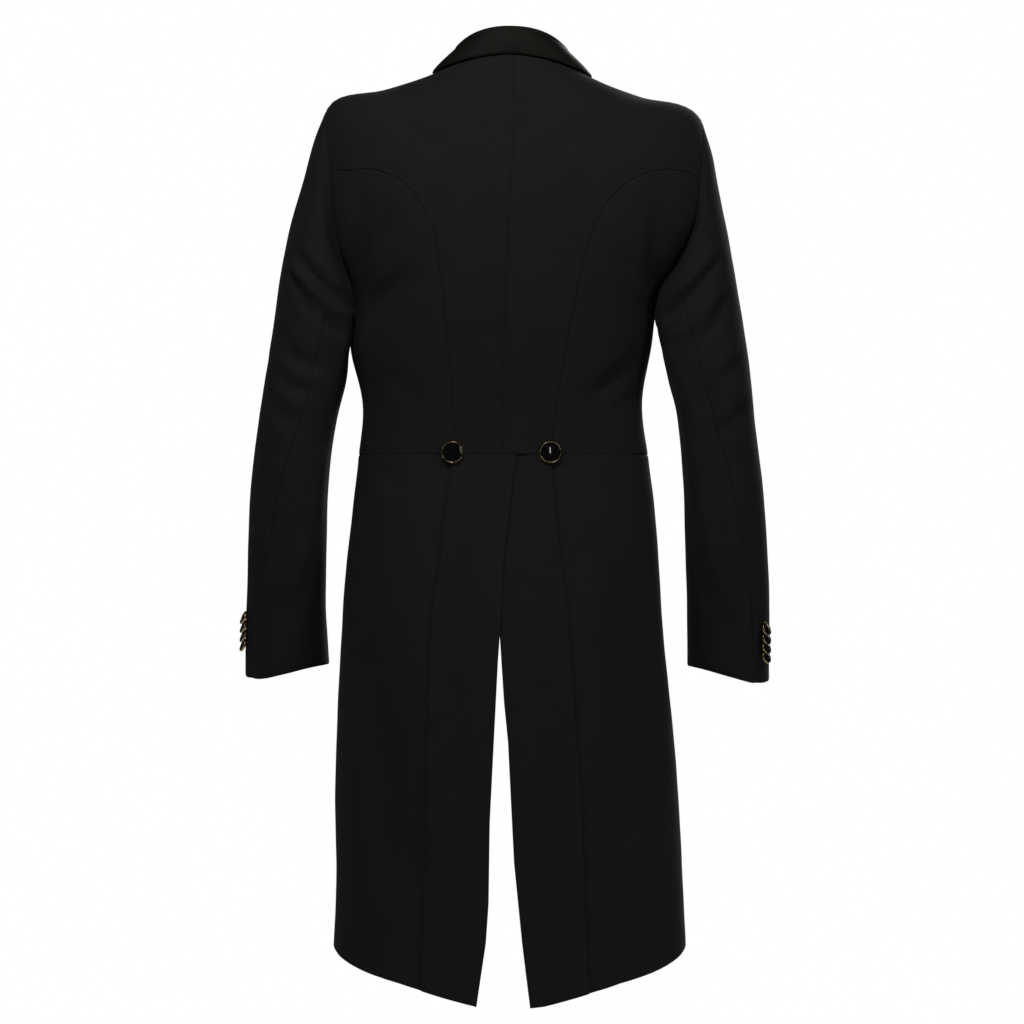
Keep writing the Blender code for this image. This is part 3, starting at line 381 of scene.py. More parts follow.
def crease_depth(creases, points, outward_y):
    """How far the creases move each point of a grid along its outward direction."""
    total = np.zeros(points.shape[:2])
    seen = points[..., [0, 2]]
    for crease in creases:
        path = np.array(crease.path, dtype=float)
        lengths = np.linalg.norm(np.diff(path, axis=0), axis=1)
        begins = np.concatenate(([0.0], np.cumsum(lengths)))
        gap = np.full(total.shape, 1e9)
        along = np.zeros(total.shape)
        aside = np.zeros(total.shape)
        for i, (a, b) in enumerate(zip(path[:-1], path[1:])):
            d = b - a
            f = np.clip(((seen - a) @ d) / (d @ d), 0.0, 1.0)
            off = seen - (a + f[..., None] * d)
            away = np.linalg.norm(off, axis=-1)
            near = away < gap
            turn = np.sign(d[0] * off[..., 1] - d[1] * off[..., 0])
            aside = np.where(near, away * turn, aside)
            along = np.where(near, begins[i] + f * lengths[i], along)
            gap = np.where(near, away, gap)
        share = along / begins[-1]
        fade = np.ones(total.shape)
        if crease.ends[0]:
            fade *= soft(share / crease.ends[0])
        if crease.ends[1]:
            fade *= soft((1.0 - share) / crease.ends[1])
        shape = np.exp(-(gap / crease.width) ** 2)
        beside = np.exp(-((aside - 1.7 * crease.width) / (1.2 * crease.width)) ** 2)
        facing = np.clip(outward_y * crease.face * 2, 0.0, 1.0)
        total += crease.depth * (shape - crease.lip * beside) * fade * facing
    return total


def unevenness(points):
    """The slow, slight waves that any worn cloth has."""
    x, y, z = points[..., 0], points[..., 1], points[..., 2]
    slow = np.sin(x / 23 + 1.3 * np.sin(z / 61 + y / 47)) * np.sin(z / 37 + x / 71 + 0.7)
    quick = np.sin(x / 11.7 + z / 19.3 + 2.1) * np.sin(z / 14.1 - y / 16.7 + x / 33)
    return 0.42 * slow + 0.16 * quick


def nearest(points, line):
    """The distance of each point of a grid from the nearest point of a line."""
    flat = points.reshape(-1, 3)
    gap = np.min(np.linalg.norm(flat[:, None, :] - line[None, :, :], axis=-1), axis=1)
    return gap.reshape(points.shape[:2])


def from_edge(grid, name):
    """The distance along the cloth of each point of a grid from one of its edges."""
    axis = 0 if name in ("top", "bottom") else 1
    steps = np.linalg.norm(np.diff(grid, axis=axis), axis=-1)
    total = np.cumsum(steps, axis=axis)
    zero = np.zeros_like(total[:1]) if axis == 0 else np.zeros_like(total[:, :1])
    out = np.concatenate((zero, total), axis=axis)
    if name in ("bottom", "end"):
        whole = out[-1:] if axis == 0 else out[:, -1:]
        out = whole - out
    return out


def inset(grid, seams):
    """Move the seam edges of a grid into the piece by half the seam's gap."""
    out = grid.copy()
    for name, line, inner in (
        ("top", np.s_[0, :], np.s_[1, :]), ("bottom", np.s_[-1, :], np.s_[-2, :]),
        ("start", np.s_[:, 0], np.s_[:, 1]), ("end", np.s_[:, -1], np.s_[:, -2]),
    ):
        if name in seams:
            along = unit(np.gradient(grid[line], axis=0))
            inward = grid[inner] - grid[line]
            inward = inward - along * np.sum(inward * along, axis=-1, keepdims=True)
            out[line] = out[line] + unit(inward) * SEAM_GAP / 2
    return out


def rounded(grid, seams, free):
    """Return how far the outside and the inside of the cloth draw in at each point near an edge."""
    outside = np.zeros(grid.shape[:2])
    inside = np.zeros(grid.shape[:2])
    for name in seams:
        away = from_edge(grid, name)
        outside += SEAM_DEPTH * np.exp(-(away / SEAM_WIDTH) ** 2)
        outside -= SWELL * np.exp(-((away - SWELL_AT) / SWELL_WIDTH) ** 2)
    for name in free:
        turn_in = EDGE_ROUND * np.exp(-(from_edge(grid, name) / EDGE_WIDTH) ** 2)
        outside += turn_in
        inside += turn_in
    return outside, inside


def wall(name, outer, inner, outside, inside):
    """Make one closed piece from two grids of points that face each other."""
    rows, cols = outer.shape[:2]
    verts = np.vstack((outer.reshape(-1, 3), inner.reshape(-1, 3)))
    index = np.arange(rows * cols).reshape(rows, cols)
    a, b, c, d = index[:-1, :-1], index[:-1, 1:], index[1:, 1:], index[1:, :-1]
    front = np.stack((a, b, c, d), axis=-1).reshape(-1, 4)
    behind = front[:, ::-1] + rows * cols
    rim = np.concatenate((index[0, :-1], index[:-1, -1], index[-1, :0:-1], index[:0:-1, 0]))
    after = np.roll(rim, -1)
    sides = np.stack((after, rim, rim + rows * cols, after + rows * cols), axis=-1)
    k, j = rows // 2, cols // 2
    across = outer[k, j] - outer[k, j - 1]
    down = outer[k, j] - outer[k - 1, j]
    outward = outer[k, j] - inner[k, j]
    faces = np.vstack((front, sides, behind))
    if np.dot(np.cross(across, down), outward) < 0:
        faces = faces[:, ::-1]
    piece = add_mesh(name, verts, faces.tolist(), [outside, inside])
    marks = np.zeros(len(faces), dtype=np.int32)
    marks[len(front) + len(sides):] = 1
    piece.data.polygons.foreach_set("material_index", marks)
    return piece


def add_mesh(name, verts, faces, finishes):
    """Make an object from points in millimetres."""
    mesh = bpy.data.meshes.new(name)
    mesh.from_pydata([tuple(float(c) * MM for c in v) for v in verts], [], faces)
    for finish in finishes:
        mesh.materials.append(finish)
    mesh.shade_smooth()
    mesh.set_sharp_from_angle(angle=math.radians(50))
    piece = bpy.data.objects.new(name, mesh)
    bpy.context.scene.collection.objects.link(piece)
    return piece


def declare(piece, node, grid):
    """Let a piece of cloth stand for its solid: hide the solid and attach the piece to the root."""
    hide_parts(node)
    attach(piece, "root")
    a, b, c, d = grid[:-1, :-1], grid[:-1, 1:], grid[1:, 1:], grid[1:, :-1]
    halves = np.linalg.norm(np.cross(b - a, c - a), axis=-1)
    halves = halves + np.linalg.norm(np.cross(c - a, d - a), axis=-1)


def finer_rows(places, ends):
    """Add two rows of places close to the top or the bottom edge."""
    places = [[np.array(p, dtype=float) for p in row] for row in places]

    def between(k, f):
        return [a + (b - a) * f for a, b in zip(places[k], places[k + 1])]

    last = len(places) - 2
    top = [between(0, 0.12), between(0, 0.35)] if "top" in ends else []
    bottom = [between(last, 0.65), between(last, 0.88)] if "bottom" in ends else []
    return places[:1] + top + places[1:-1] + bottom + places[-1:]


def shares(width, cols):
    """Even shares from 0 to 1, with finer ones at each end, for a piece that wide in millimetres."""
    near = [d / width for d in (0.6, 1.5, 3.0)]
    middle = [m for m in np.linspace(0, 1, cols + 1) if near[-1] * 1.4 < m < 1 - near[-1] * 1.4]
    return [0.0] + near + middle + [1 - n for n in reversed(near)] + [1.0]


def ruled(start, end, across):
    """Fill a grid of places between two edges that have the same number of rows."""
    return [[a + (b - a) * f for f in across] for a, b in zip(start, end)]


def panel(node, places, finishes, lift=None, seams=(), free=(), level=None, mitre=None, exact=None,
          arm=None):
    """Make a piece of the body from a grid of places on the form, in place of its solid.

    lift moves the cloth off the form. seams and free name its sewn and its open edges, and level
    the one that is cut level. mitre is an edge and the wall's direction at some of its rows,
    exact the points of the first row, and arm the armhole's line, where creases fade out.
    """
    points = np.array([[form(*q) for q in row] for row in places])
    normals = np.array([[form_normal(*q) for q in row] for row in places])
    turns = np.array([[q[0] for q in row] for row in places])
    off = crease_depth(CREASES, points, normals[..., 1]) + unevenness(points)
    if arm is not None:
        off *= soft(nearest(points, arm) / 8)
    if lift:
        off += np.array([[lift(p) for p in row] for row in points])
    surface = points + normals * off[..., None]
    if exact is not None:
        surface[0] = exact
    if mitre:
        edge, directions = mitre
        away = from_edge(surface, edge)
        for k, direction in directions.items():
            keep = soft(away[k] / 10)[:, None]
            normals[k] = unit(normals[k] * keep + direction * (1 - keep))
    row = {"top": 0, "bottom": -1}.get(level)
    if row is not None:
        flat = np.abs(turns[row]) < DIP_FROM
        normals[row][flat] = unit(normals[row][flat] * np.array((1.0, 1.0, 0.0)))
    outer, inner = inset(surface, seams), surface.copy()
    if row is not None:
        outer[row][flat, 2] = Z_WAIST + (SEAM_GAP / 2 if row else -SEAM_GAP / 2)
        inner[row][flat, 2] = Z_WAIST
    outside, inside = rounded(surface, seams + ((level,) if level else ()), free)
    inner = inner - normals * (CLOTH - inside[..., None])
    outer = outer - normals * outside[..., None]
    declare(wall(f"{node}_cloth", outer, inner, *finishes), node, surface)


# Rows of the centre-back seam: how far down it lies where each row of the back ends
CENTRE_ROWS = ((0, 29.0), (32, -78.0), (40, -104.0), (52, -172.0), (BODY_ROWS, Z_WAIST))


def stepped(table, row):
    """Read a table of row and value at one row, straight between its lines."""
    for (r0, v0), (r1, v1) in zip(table[:-1], table[1:]):
        if row <= r1:
            return v0 + (v1 - v0) * (row - r0) / (r1 - r0)
    return table[-1][1]


def body_edges(side):
    """The shared edges of one half of the body, as lists of places on the form."""
    s = SIDE[side]
    angles, arm = armhole(side)
    shoulder = [np.array((90.0 * s, T_TIP * k / ROWS_SHOULDER)) for k in range(ROWS_SHOULDER + 1)]
    centre = [np.array((0.0, t_at(stepped(CENTRE_ROWS, k)))) for k in range(BODY_ROWS + 1)]
    count = ROWS_ARM_SIDE + ROWS_SIDE_SEAM
    seam_places = [arm[ROWS_ARM_BACK]] + [find_seen(*p) for p in BACK_SEAM[side]]
    back_seam = polyline(seam_places, count)
    back_seam[-1][1] = T_WAIST
    arm_bottom = arm[ROWS_ARM_BACK + ROWS_ARM_SIDE]
    side_end = np.array((SIDE_SEAM_TURN * s, T_WAIST))
    fall = side_end - arm_bottom
    side_seam = [arm_bottom + fall * k / ROWS_SIDE_SEAM for k in range(ROWS_SIDE_SEAM + 1)]
    return {
        "angles": angles, "arm": arm, "shoulder": shoulder, "centre": centre,
        "back_seam": back_seam, "side_seam": side_seam,
    }


def arm_mitres(side, edges):
    """The wall's direction at each armhole point: halfway between body and sleeve."""
    out = []
    for i, place in enumerate(edges["arm"]):
        n = form_normal(*place)
        a = math.radians(edges["angles"][i])
        m = n + sleeve_normal(side, MITRE_AT, a)
        out.append(m / np.linalg.norm(m))
    return out


# Sleeve rings seen from behind: the outer and the inner point, the depth from front to back,
# and how far the middle lies to the front (less) or the back (more)
SleeveRing = namedtuple("SleeveRing", "outer_x outer_z inner_x inner_z depth y")
SLEEVE = {
    "left": (
        (201, -38, 172.5, -236, 124, -1), (214, -70, 179.5, -243, 134, -1),
        (226, -112, 181.5, -254, 144, 0), (241, -164, 181, -272, 150, 1),
        (252, -222, 179, -301, 148, 3), (264, -305, 180.5, -332, 142, 6),
        (275, -375, 191, -378, 136, 8), (283, -440, 198.7, -440, 130, 5),
        (287, -510, 202, -510, 124, -4), (289.5, -580, 203, -576, 116, -18),
        (291.5, -650, 200, -638, 112, -34),
    ),
    "right": (
        (-206, -47, -163, -236, 124, -1), (-217, -84, -164, -244, 134, -1),
        (-225, -126, -165, -256, 144, 0), (-236, -178, -164.5, -272, 150, 1),
        (-246, -238, -165, -297, 148, 3), (-257, -310, -170, -330, 142, 6),
        (-264, -375, -179.5, -372, 136, 8), (-272, -440, -186, -436, 130, 5),
        (-278, -510, -188.5, -510, 124, -4), (-281, -580, -190.5, -576, 116, -18),
        (-281.5, -655, -192, -640, 112, -34),
    ),
}
SLEEVE_TABLE = {side: np.array(rows, dtype=float) for side, rows in SLEEVE.items()}
SLEEVE_SQUARE = 0.86
SLEEVE_LENGTH = 10.0
UNDER_SLEEVE_FROM = 28
UNDER_SLEEVE_TO = 48
# The angle of each sleeve seam at the armhole, elbow and cuff
HIND_SEAM = {"left": (125.7, 100.0, 48.0), "right": (125.7, 100.0, 56.0)}
FORE_SEAM = (216.0, 222.0, 226.0)

# Where the back of the sleeve hangs in towards the body below the armhole
DRAPE = 15.0
DRAPE_ANGLE = 138.0
DRAPE_SPREAD = 30.0
DRAPE_REACH = 50.0
DRAPE_Z = {"left": -260.0, "right": -262.0}
# How far the cuff's hem hangs below a straight cut, most at its hind outer side
HEM_DROP = 2.0
HEM_ROUND = 6.0
HEM_LOW_ANGLE = 62.0
HEM_SPREAD = 42.0
# The share of the sleeve over which its top leaves the armhole's line, and the place on the
# sleeve whose direction the armhole seam takes
ARM_BLEND = 0.22
MITRE_AT = 0.15


def sleeve_form(side, s, a):
    """The outside of a sleeve: a is 0 outside, half pi behind and pi on the inner side."""
    ring = SleeveRing(*through(SLEEVE_TABLE[side], s))
    outer = np.array((ring.outer_x, 0.0, ring.outer_z))
    inner = np.array((ring.inner_x, 0.0, ring.inner_z))
    across = (outer - inner) / 2 * power(math.cos(a), SLEEVE_SQUARE)
    deep = np.array((0.0, ring.depth / 2 * power(math.sin(a), SLEEVE_SQUARE), 0.0))
    return (outer + inner) / 2 + across + deep + np.array((0.0, ring.y, 0.0))


def sleeve_normal(side, s, a):
    """The outward direction of a sleeve."""
    d = 0.01
    s0 = max(s - 0.03, 0.0)
    s1 = min(s + 0.03, SLEEVE_LENGTH)
    round_it = sleeve_form(side, s, a + d) - sleeve_form(side, s, a - d)
    down = sleeve_form(side, s1, a) - sleeve_form(side, s0, a)
    n = np.cross(round_it, down) * SIDE[side]
    n = n / np.linalg.norm(n)
    ring = SleeveRing(*through(SLEEVE_TABLE[side], s))
    middle = np.array(((ring.outer_x + ring.inner_x) / 2, ring.y, (ring.outer_z + ring.inner_z) / 2))
    return n if np.dot(n, sleeve_form(side, s, a) - middle) > 0 else -n


def three(values, f):
    """Read three values, at the start, the middle and the end, at the fraction f."""
    if f < 0.5:
        return values[0] + (values[1] - values[0]) * smooth(f * 2)
    return values[1] + (values[2] - values[1]) * smooth(f * 2 - 1)


def sleeve_piece(node, side, edges, mitres, columns, finishes):
    """Make the top or under sleeve from the armhole points of its columns down to the cuff."""
    count = len(edges["angles"])
    top_piece = len(columns) > count / 2
    spread = shares(TOP_SLEEVE_WIDTH if top_piece else UNDER_SLEEVE_WIDTH, len(columns) - 1)
    at = np.array(spread) * (len(columns) - 1)
    known = np.arange(len(columns))

    def along_arm(values):
        values = np.array(values, dtype=float)
        return np.stack([np.interp(at, known, values[:, i]) for i in range(values.shape[1])], axis=-1)

    angles = along_arm([[edges["angles"][i % count] + 360 * (i // count)] for i in columns])[:, 0]
    first = along_arm([form(*edges["arm"][i % count]) for i in columns])
    first_normals = unit(along_arm([mitres[i % count] for i in columns]))
    aside = np.array((SEAM_GAP * SIDE[side], 0.0, 0.0))
    begin = np.array([sleeve_form(side, 0.0, math.radians(angle)) for angle in angles])
    down = [0.0, 0.12 / ROWS_SLEEVE, 0.4 / ROWS_SLEEVE] + [k / ROWS_SLEEVE for k in range(1, ROWS_SLEEVE)]
    down += [1 - 0.35 / ROWS_SLEEVE, 1 - 0.12 / ROWS_SLEEVE, 1.0]
    points, normals, around = [], [], []
    for f in down:
        s = SLEEVE_LENGTH * f
        hind, fore = three(HIND_SEAM[side], f), three(FORE_SEAM, f)
        start, end = (fore, hind + 360) if top_piece else (hind, fore)
        turn = [math.radians(start + (end - start) * share) for share in spread]
        line = np.array([sleeve_form(side, s, a) for a in turn])
        points.append(line + (first + aside - begin) * (1 - smooth(f / ARM_BLEND)))
        normals.append([sleeve_normal(side, s, a) for a in turn])
        around.append(np.degrees(turn))
    points, normals = np.array(points), np.array(normals)
    drape = np.exp(-((np.array(around) % 360 - DRAPE_ANGLE) / DRAPE_SPREAD) ** 2)
    drape *= np.exp(-((points[..., 2] - DRAPE_Z[side]) / DRAPE_REACH) ** 2)
    points[..., 0] -= SIDE[side] * DRAPE * drape
    low = np.clip((np.array(down) - 0.9) / 0.1, 0, 1)[:, None] ** 2
    from_low = (np.array(around) - HEM_LOW_ANGLE + 180) % 360 - 180
    round_hem = np.exp(-(from_low / HEM_SPREAD) ** 2)
    points[..., 2] -= low * (HEM_DROP + HEM_ROUND * round_hem)
    off = crease_depth(SLEEVE_CREASES, points, normals[..., 1]) + unevenness(points)
    off *= soft(from_edge(points, "top") / 9)
    surface = points + normals * off[..., None]
    keep = soft(from_edge(points, "top") / 10)[..., None]
    normals = unit(normals * keep + first_normals[None] * (1 - keep))
    seams = ("start", "end")
    outside, inside = rounded(surface, seams + ("top",), ("bottom",))
    outer = inset(surface, seams) - normals * outside[..., None]
    inner = surface - normals * (CLOTH - inside[..., None])
    declare(wall(f"{node}_cloth", outer, inner, *finishes), node, surface)


# Tails: the edges seen from behind as x and z, and the hem height by turn
VENT = {
    "left": (
        (-5, -412), (1, -457), (3.6, -483), (9.7, -537), (13, -606), (15, -634), (19.4, -720),
        (23.8, -807), (25, -893), (28, -936), (34.6, -980), (39, -1010),
    ),
    "right": (
        (22, -412), (20, -500), (17, -560), (13, -608), (8.6, -677), (4.3, -720), (0, -807),
        (-2.2, -850), (-6.5, -893), (-10.8, -936), (-16.2, -980), (-20, -1010),
    ),
}
PLEAT = {
    "left": ((63.7, -412), (71, -470), (78, -533), (86.4, -587), (90, -700), (95, -909), (98.5, -1010)),
    "right": ((-41, -412), (-50, -500), (-61, -597), (-68, -700), (-75, -800), (-79, -909), (-84, -1010)),
}
HEM = ((0, -1007), (7, -1004), (23, -989), (33, -980), (50, -969), (66, -958), (80, -949), (120, -936))
TAIL_FRONT_TOP = 114.0
TAIL_FRONT_HEM = 92.0
PLEAT_TUCK = 14.0
VENT_LAP = 20.0
# The height below which the tails part, how softly they do, how far the lower layer clears the
# upper one, and the width of the step down to it, at the vent and at the pleat
VENT_LAP_END = -640.0
VENT_LAP_FADE = 60.0
VENT_AIR = 0.4
VENT_STEP = 18.0
PLEAT_AIR = 0.8
PLEAT_CLEAR = 1.0
PLEAT_STEP = 22.0
TAIL_END = -1000.0


def tail_places(start_at, end_at, across):
    """Places of a tail piece between two edges that are given as a turn for each height."""
    out = []
    for k in range(ROWS_TAIL + 1):
        f = k / ROWS_TAIL
        line = []
        z = Z_WAIST + (TAIL_END - Z_WAIST) * f
        for share in across:
            for _ in range(2):
                turn = start_at(z) + (end_at(z) - start_at(z)) * share
                z = Z_WAIST + (stepped(HEM, abs(turn)) - Z_WAIST) * f
            line.append(np.array((turn, t_at(z) if k else T_WAIST)))
        out.append(line)
    return finer_rows(out, ("top", "bottom"))


def vent_lift(p):
    """The right tail lies under the left one along the vent."""
    edge = read(VENT["left"], p[2]) - VENT_LAP
    above_end = 1 - smooth((VENT_LAP_END - p[2]) / VENT_LAP_FADE)
    return (UNDER - VENT_AIR) * smooth((p[0] - edge) / VENT_STEP) * above_end


def build_tails(side, finishes):
    """Make the back tail and the side tail of one half."""
    s = SIDE[side]

    def vent(z):
        return turn_at(read(VENT[side], z), z)

    def pleat(z):
        return turn_at(read(PLEAT[side], z), z)

    def tucked(z):
        return turn_at(read(PLEAT[side], z) - s * PLEAT_TUCK, z)

    def front_edge(z):
        f = (z - Z_WAIST) / (-950 - Z_WAIST)
        return s * (TAIL_FRONT_TOP + (TAIL_FRONT_HEM - TAIL_FRONT_TOP) * min(f, 1.0))

    def under_pleat(p):
        past = s * (p[0] - read(PLEAT[side], p[2]))
        return (UNDER - PLEAT_AIR) * (1 - smooth((past - PLEAT_CLEAR) / PLEAT_STEP))

    lift = vent_lift if side == "right" else None
    for part, start_at, end_at, off in (("back", vent, pleat, lift),
                                        ("side", tucked, front_edge, under_pleat)):
        places = tail_places(start_at, end_at, shares(*COLUMNS[f"tail_{part}"]))
        panel(f"tail_{part}_{side}", places, finishes, off, (), ("start", "end", "bottom"), "top")


# The front: the roll line and edge as x and z, and how the waist hem dips to a point
FRONT_EDGE = {
    "left": ((60, -14), (-10, -300), (-8, -360), (-6, -412)),
    "right": ((-60, -14), (25, -300), (26, -360), (27, -412)),
}
FRONT_ROWS = ((0, -14.0), (56, -300.0), (BODY_ROWS, Z_WAIST))
DIP = ((0, 0.0), (117, 0.0), (140, 30.0), (160, 62.0), (172, 40.0), (200, 18.0))
DIP_ROWS = 20
# How far the right front runs under the left, the height where that begins, and the step there
FRONT_LAP = 56.0
FRONT_LAP_TOP = -130.0
FRONT_LAP_FADE = 80.0
FRONT_AIR = 0.9
FRONT_STEP = 50.0


def front_lift(p):
    """The right front lies under the left front."""
    edge = read(FRONT_EDGE["left"], p[2]) - FRONT_LAP
    down = smooth((FRONT_LAP_TOP - p[2]) / FRONT_LAP_FADE)
    return 2 * (UNDER - FRONT_AIR) * smooth((p[0] - edge) / FRONT_STEP) * down


def front_turn(x, z):
    """The turn of a point at x and z on the front of the form."""
    s = 1.0 if x >= Ring(*through(RING_TABLE, t_at(z))).centre else -1.0
    return find([0, 2], (x, z), (s * 165.0 if z < -120 else s * 140.0, t_at(z)))


def front_places(side, edges):
    """Places of one front from the side seam to the roll line and the front edge."""
    s = SIDE[side]
    count = len(edges["arm"])
    arm_front = [edges["arm"][i % count] for i in range(count, ROWS_ARM_BACK + ROWS_ARM_SIDE - 1, -1)]
    outer_edge = edges["shoulder"] + arm_front[1:] + edges["side_seam"][1:]
    inner_edge = []
    for k in range(BODY_ROWS + 1):
        z = stepped(FRONT_ROWS, k)
        inner_edge.append(front_turn(read(FRONT_EDGE[side], z), z))
    for place in inner_edge:
        if place[0] * s < 0:
            place[0] += 360 * s
    inner_edge[-1][1] = T_WAIST
    places = ruled(outer_edge, inner_edge, shares(*COLUMNS["front"]))
    for k in range(BODY_ROWS - DIP_ROWS, BODY_ROWS + 1):
        share = smooth((k - BODY_ROWS + DIP_ROWS) / DIP_ROWS)
        for place in places[k]:
            z = through(RING_TABLE, place[1])[0] - smooth_dip(abs(place[0])) * share
            place[1] = t_at(z) if share else place[1]
    return places


def smooth_dip(turn):
    """How far the front's hem dips at a turn, on straight lines with softened corners."""
    near = [stepped(DIP, min(max(turn + d, 0.0), 200.0)) for d in (-4.0, -2.0, 0.0, 2.0, 4.0)]
    return sum(near) / len(near)


# Lapels: the outer edge from the top corner to the roll line's end
LAPEL_EDGE = {
    "left": ((118, -66), (119, -96), (104, -160), (72, -225), (36, -268), (2, -288)),
    "right": ((-118, -70), (-119, -98), (-102, -160), (-68, -222), (-30, -258), (4, -276)),
}
LAPEL_TOP = -20.0
LAPEL_END = {"left": -294.0, "right": -284.0}
LAPEL_LIFT = CLOTH + 1.2
LAPEL_ROLL = 3.0


def build_lapel(side, finishes):
    """Make one lapel, turned out on its front from the roll line."""
    edge = np.array(LAPEL_EDGE[side], dtype=float)
    places = []
    for k in range(ROWS_LAPEL + 1):
        f = k / ROWS_LAPEL
        z = LAPEL_TOP + (LAPEL_END[side] - LAPEL_TOP) * f
        near = front_turn(read(FRONT_EDGE[side], z), z)
        corner = through(edge, f * (len(edge) - 1))
        far = front_turn(corner[0], corner[1])
        for place in (near, far):
            if place[0] * SIDE[side] < 0:
                place[0] += 360 * SIDE[side]
        places.append([near + (far - near) * share for share in shares(*COLUMNS["lapel"])])

    def lift(p):
        base = front_lift(p) if side == "right" else 0.0
        near = abs(p[0] - read(FRONT_EDGE[side], p[2]))
        roll = LAPEL_ROLL * smooth(near / 12) * (1 - smooth((near - 12) / 40)) * smooth(1 + base / 2)
        return base + LAPEL_LIFT + roll

    panel(f"lapel_{side}", places, finishes, lift, (), ("end", "top", "bottom"))


# The collar: by turn from the centre back, how high its stand is, how far the top leans out
# from the neck, and how far down the form its fall reaches
CollarRow = namedtuple("CollarRow", "turn rise lean reach")
COLLAR = (
    (0, 16.4, 0.5, 0.20), (30, 16.8, -1.6, 0.25), (60, 16.4, -6.2, 0.30),
    (80, 14.6, -8.0, 0.26), (95, 12.4, -7.2, 0.25), (107, 9.6, -4.0, 0.36),
    (118, 6.6, -1.5, 0.74),
)
COLLAR_TABLE = np.array(COLLAR, dtype=float)
COLLAR_ROWS = 150
COLLAR_FOLD = 3.8
COLLAR_LIFT = COLLAR_CLOTH + 1.6
FALL_BULGE = 2.0
STAND_POINTS = 9
ARC_POINTS = 12
FALL_POINTS = 24
COLLAR_CREASES = tuple(Crease(*row) for row in (
    (((74, 18), (40, 26), (4, 30)), 5, -0.7, 1, 0.4, (0.3, 0.4)),
    (((-66, 20), (-34, 29), (-2, 31)), 5, -0.6, 1, 0.4, (0.3, 0.4)),
    (((24, 40), (8, 22)), 6, -0.6, 1, 0.3, (0.3, 0.4)),
))


def collar_section(turn):
    """The outside of the collar from the foot of its stand, over the fold, to its fall's edge."""
    rows = [row[0] for row in COLLAR]
    i = max(n for n, value in enumerate(rows[:-1]) if value <= abs(turn) or n == 0)
    f = (abs(turn) - rows[i]) / (rows[i + 1] - rows[i])
    row = CollarRow(*through(COLLAR_TABLE, i + min(f, 1.0)))
    round_neck = form(turn + 3.0, 0.0) - form(turn - 3.0, 0.0)
    outward = np.array((-round_neck[1], round_neck[0], 0.0)) / math.hypot(round_neck[0], round_neck[1])
    up = np.array((0.0, 0.0, 1.0))
    foot = form(turn, 0.0) - outward * COLLAR_CLOTH
    foot = foot + up * (0.9 + 0.7 * smooth((abs(turn) - 88) / 20))
    top = foot + up * row.rise + outward * row.lean
    points = [foot + (top - foot) * k / STAND_POINTS for k in range(STAND_POINTS + 1)]
    for angle in np.linspace(180 / ARC_POINTS, 180.0, ARC_POINTS):
        a = math.radians(angle)
        points.append(top + outward * COLLAR_FOLD * (1 - math.cos(a)) + up * COLLAR_FOLD * math.sin(a))
    shoulder = points[-1]
    end = form(turn, row.reach) + form_normal(turn, row.reach) * COLLAR_LIFT
    for k in range(1, FALL_POINTS + 1):
        g = k / FALL_POINTS
        p = shoulder + (end - shoulder) * g + outward * FALL_BULGE * math.sin(math.pi * g)
        lies = form(turn, row.reach * g)
        n = form_normal(turn, row.reach * g)
        points.append(p + n * max(0.0, COLLAR_LIFT - float(np.dot(p - lies, n))))
    return points, top + outward * COLLAR_FOLD, outward


def build_collar(velvet, felt):
    """Make the collar as one folded wall round the neck."""
    last = COLLAR[-1][0]
    turns = [-last + 2 * last * f for f in shares(300.0, COLLAR_ROWS)]
    sections = [collar_section(turn) for turn in turns]
    outer = np.array([points for points, middle, outward in sections])
    inner = np.zeros_like(outer)
    fold_end = STAND_POINTS + 1 + ARC_POINTS
    for k, (points, middle, outward) in enumerate(sections):
        inner[k, :STAND_POINTS] = outer[k, :STAND_POINTS] + outward * COLLAR_CLOTH
        share = 1 - COLLAR_CLOTH / COLLAR_FOLD
        inner[k, STAND_POINTS:fold_end] = middle + (outer[k, STAND_POINTS:fold_end] - middle) * share
    normals = unit(np.cross(np.gradient(outer, axis=0), np.gradient(outer, axis=1)))
    inner[:, fold_end:] = outer[:, fold_end:] - normals[:, fold_end:] * COLLAR_CLOTH
    fall = np.arange(outer.shape[1]) > fold_end
    off = crease_depth(COLLAR_CREASES, outer, normals[..., 1]) * fall
    outside, inside = rounded(outer, (), ("end", "top", "bottom"))
    outer = outer + normals * (off - outside * fall)[..., None]
    piece = wall("collar_velvet", outer, inner, velvet, felt)
    declare(piece, "collar", outer)


# Buttons: a gold cup and a black domed face in it
WAIST_BUTTON_LIFT = 1.2
FRONT_BUTTON_LIFT = 0.6
Button = namedtuple("Button", "name x z radius")
WAIST_BUTTONS = (Button("waist_left", 63.7, -410.0, 11.4), Button("waist_right", -41.0, -410.0, 11.4))
FRONT_BUTTONS = (
    Button("front_1", 8.0, -312.0, 10.0), Button("front_2", 9.0, -352.0, 10.0),
    Button("front_3", 9.7, -392.0, 10.0),
)
CUFF_RADIUS = 7.5
CUFF_STEP = 10.0
CUFF_TILT = 26.0
CUFF_GAP = 0.1
CUFF_TOP = {"left": -589.0, "right": -601.0}
CUFF_ANGLE = {"left": 22.0, "right": 40.0}
CUP_HEIGHT = 2.6
CUP_FLOOR = 0.9
RIM_WALL = 0.6
FACE_DOME = 1.3
FIT = 0.08
BUTTON_SIDES = 56


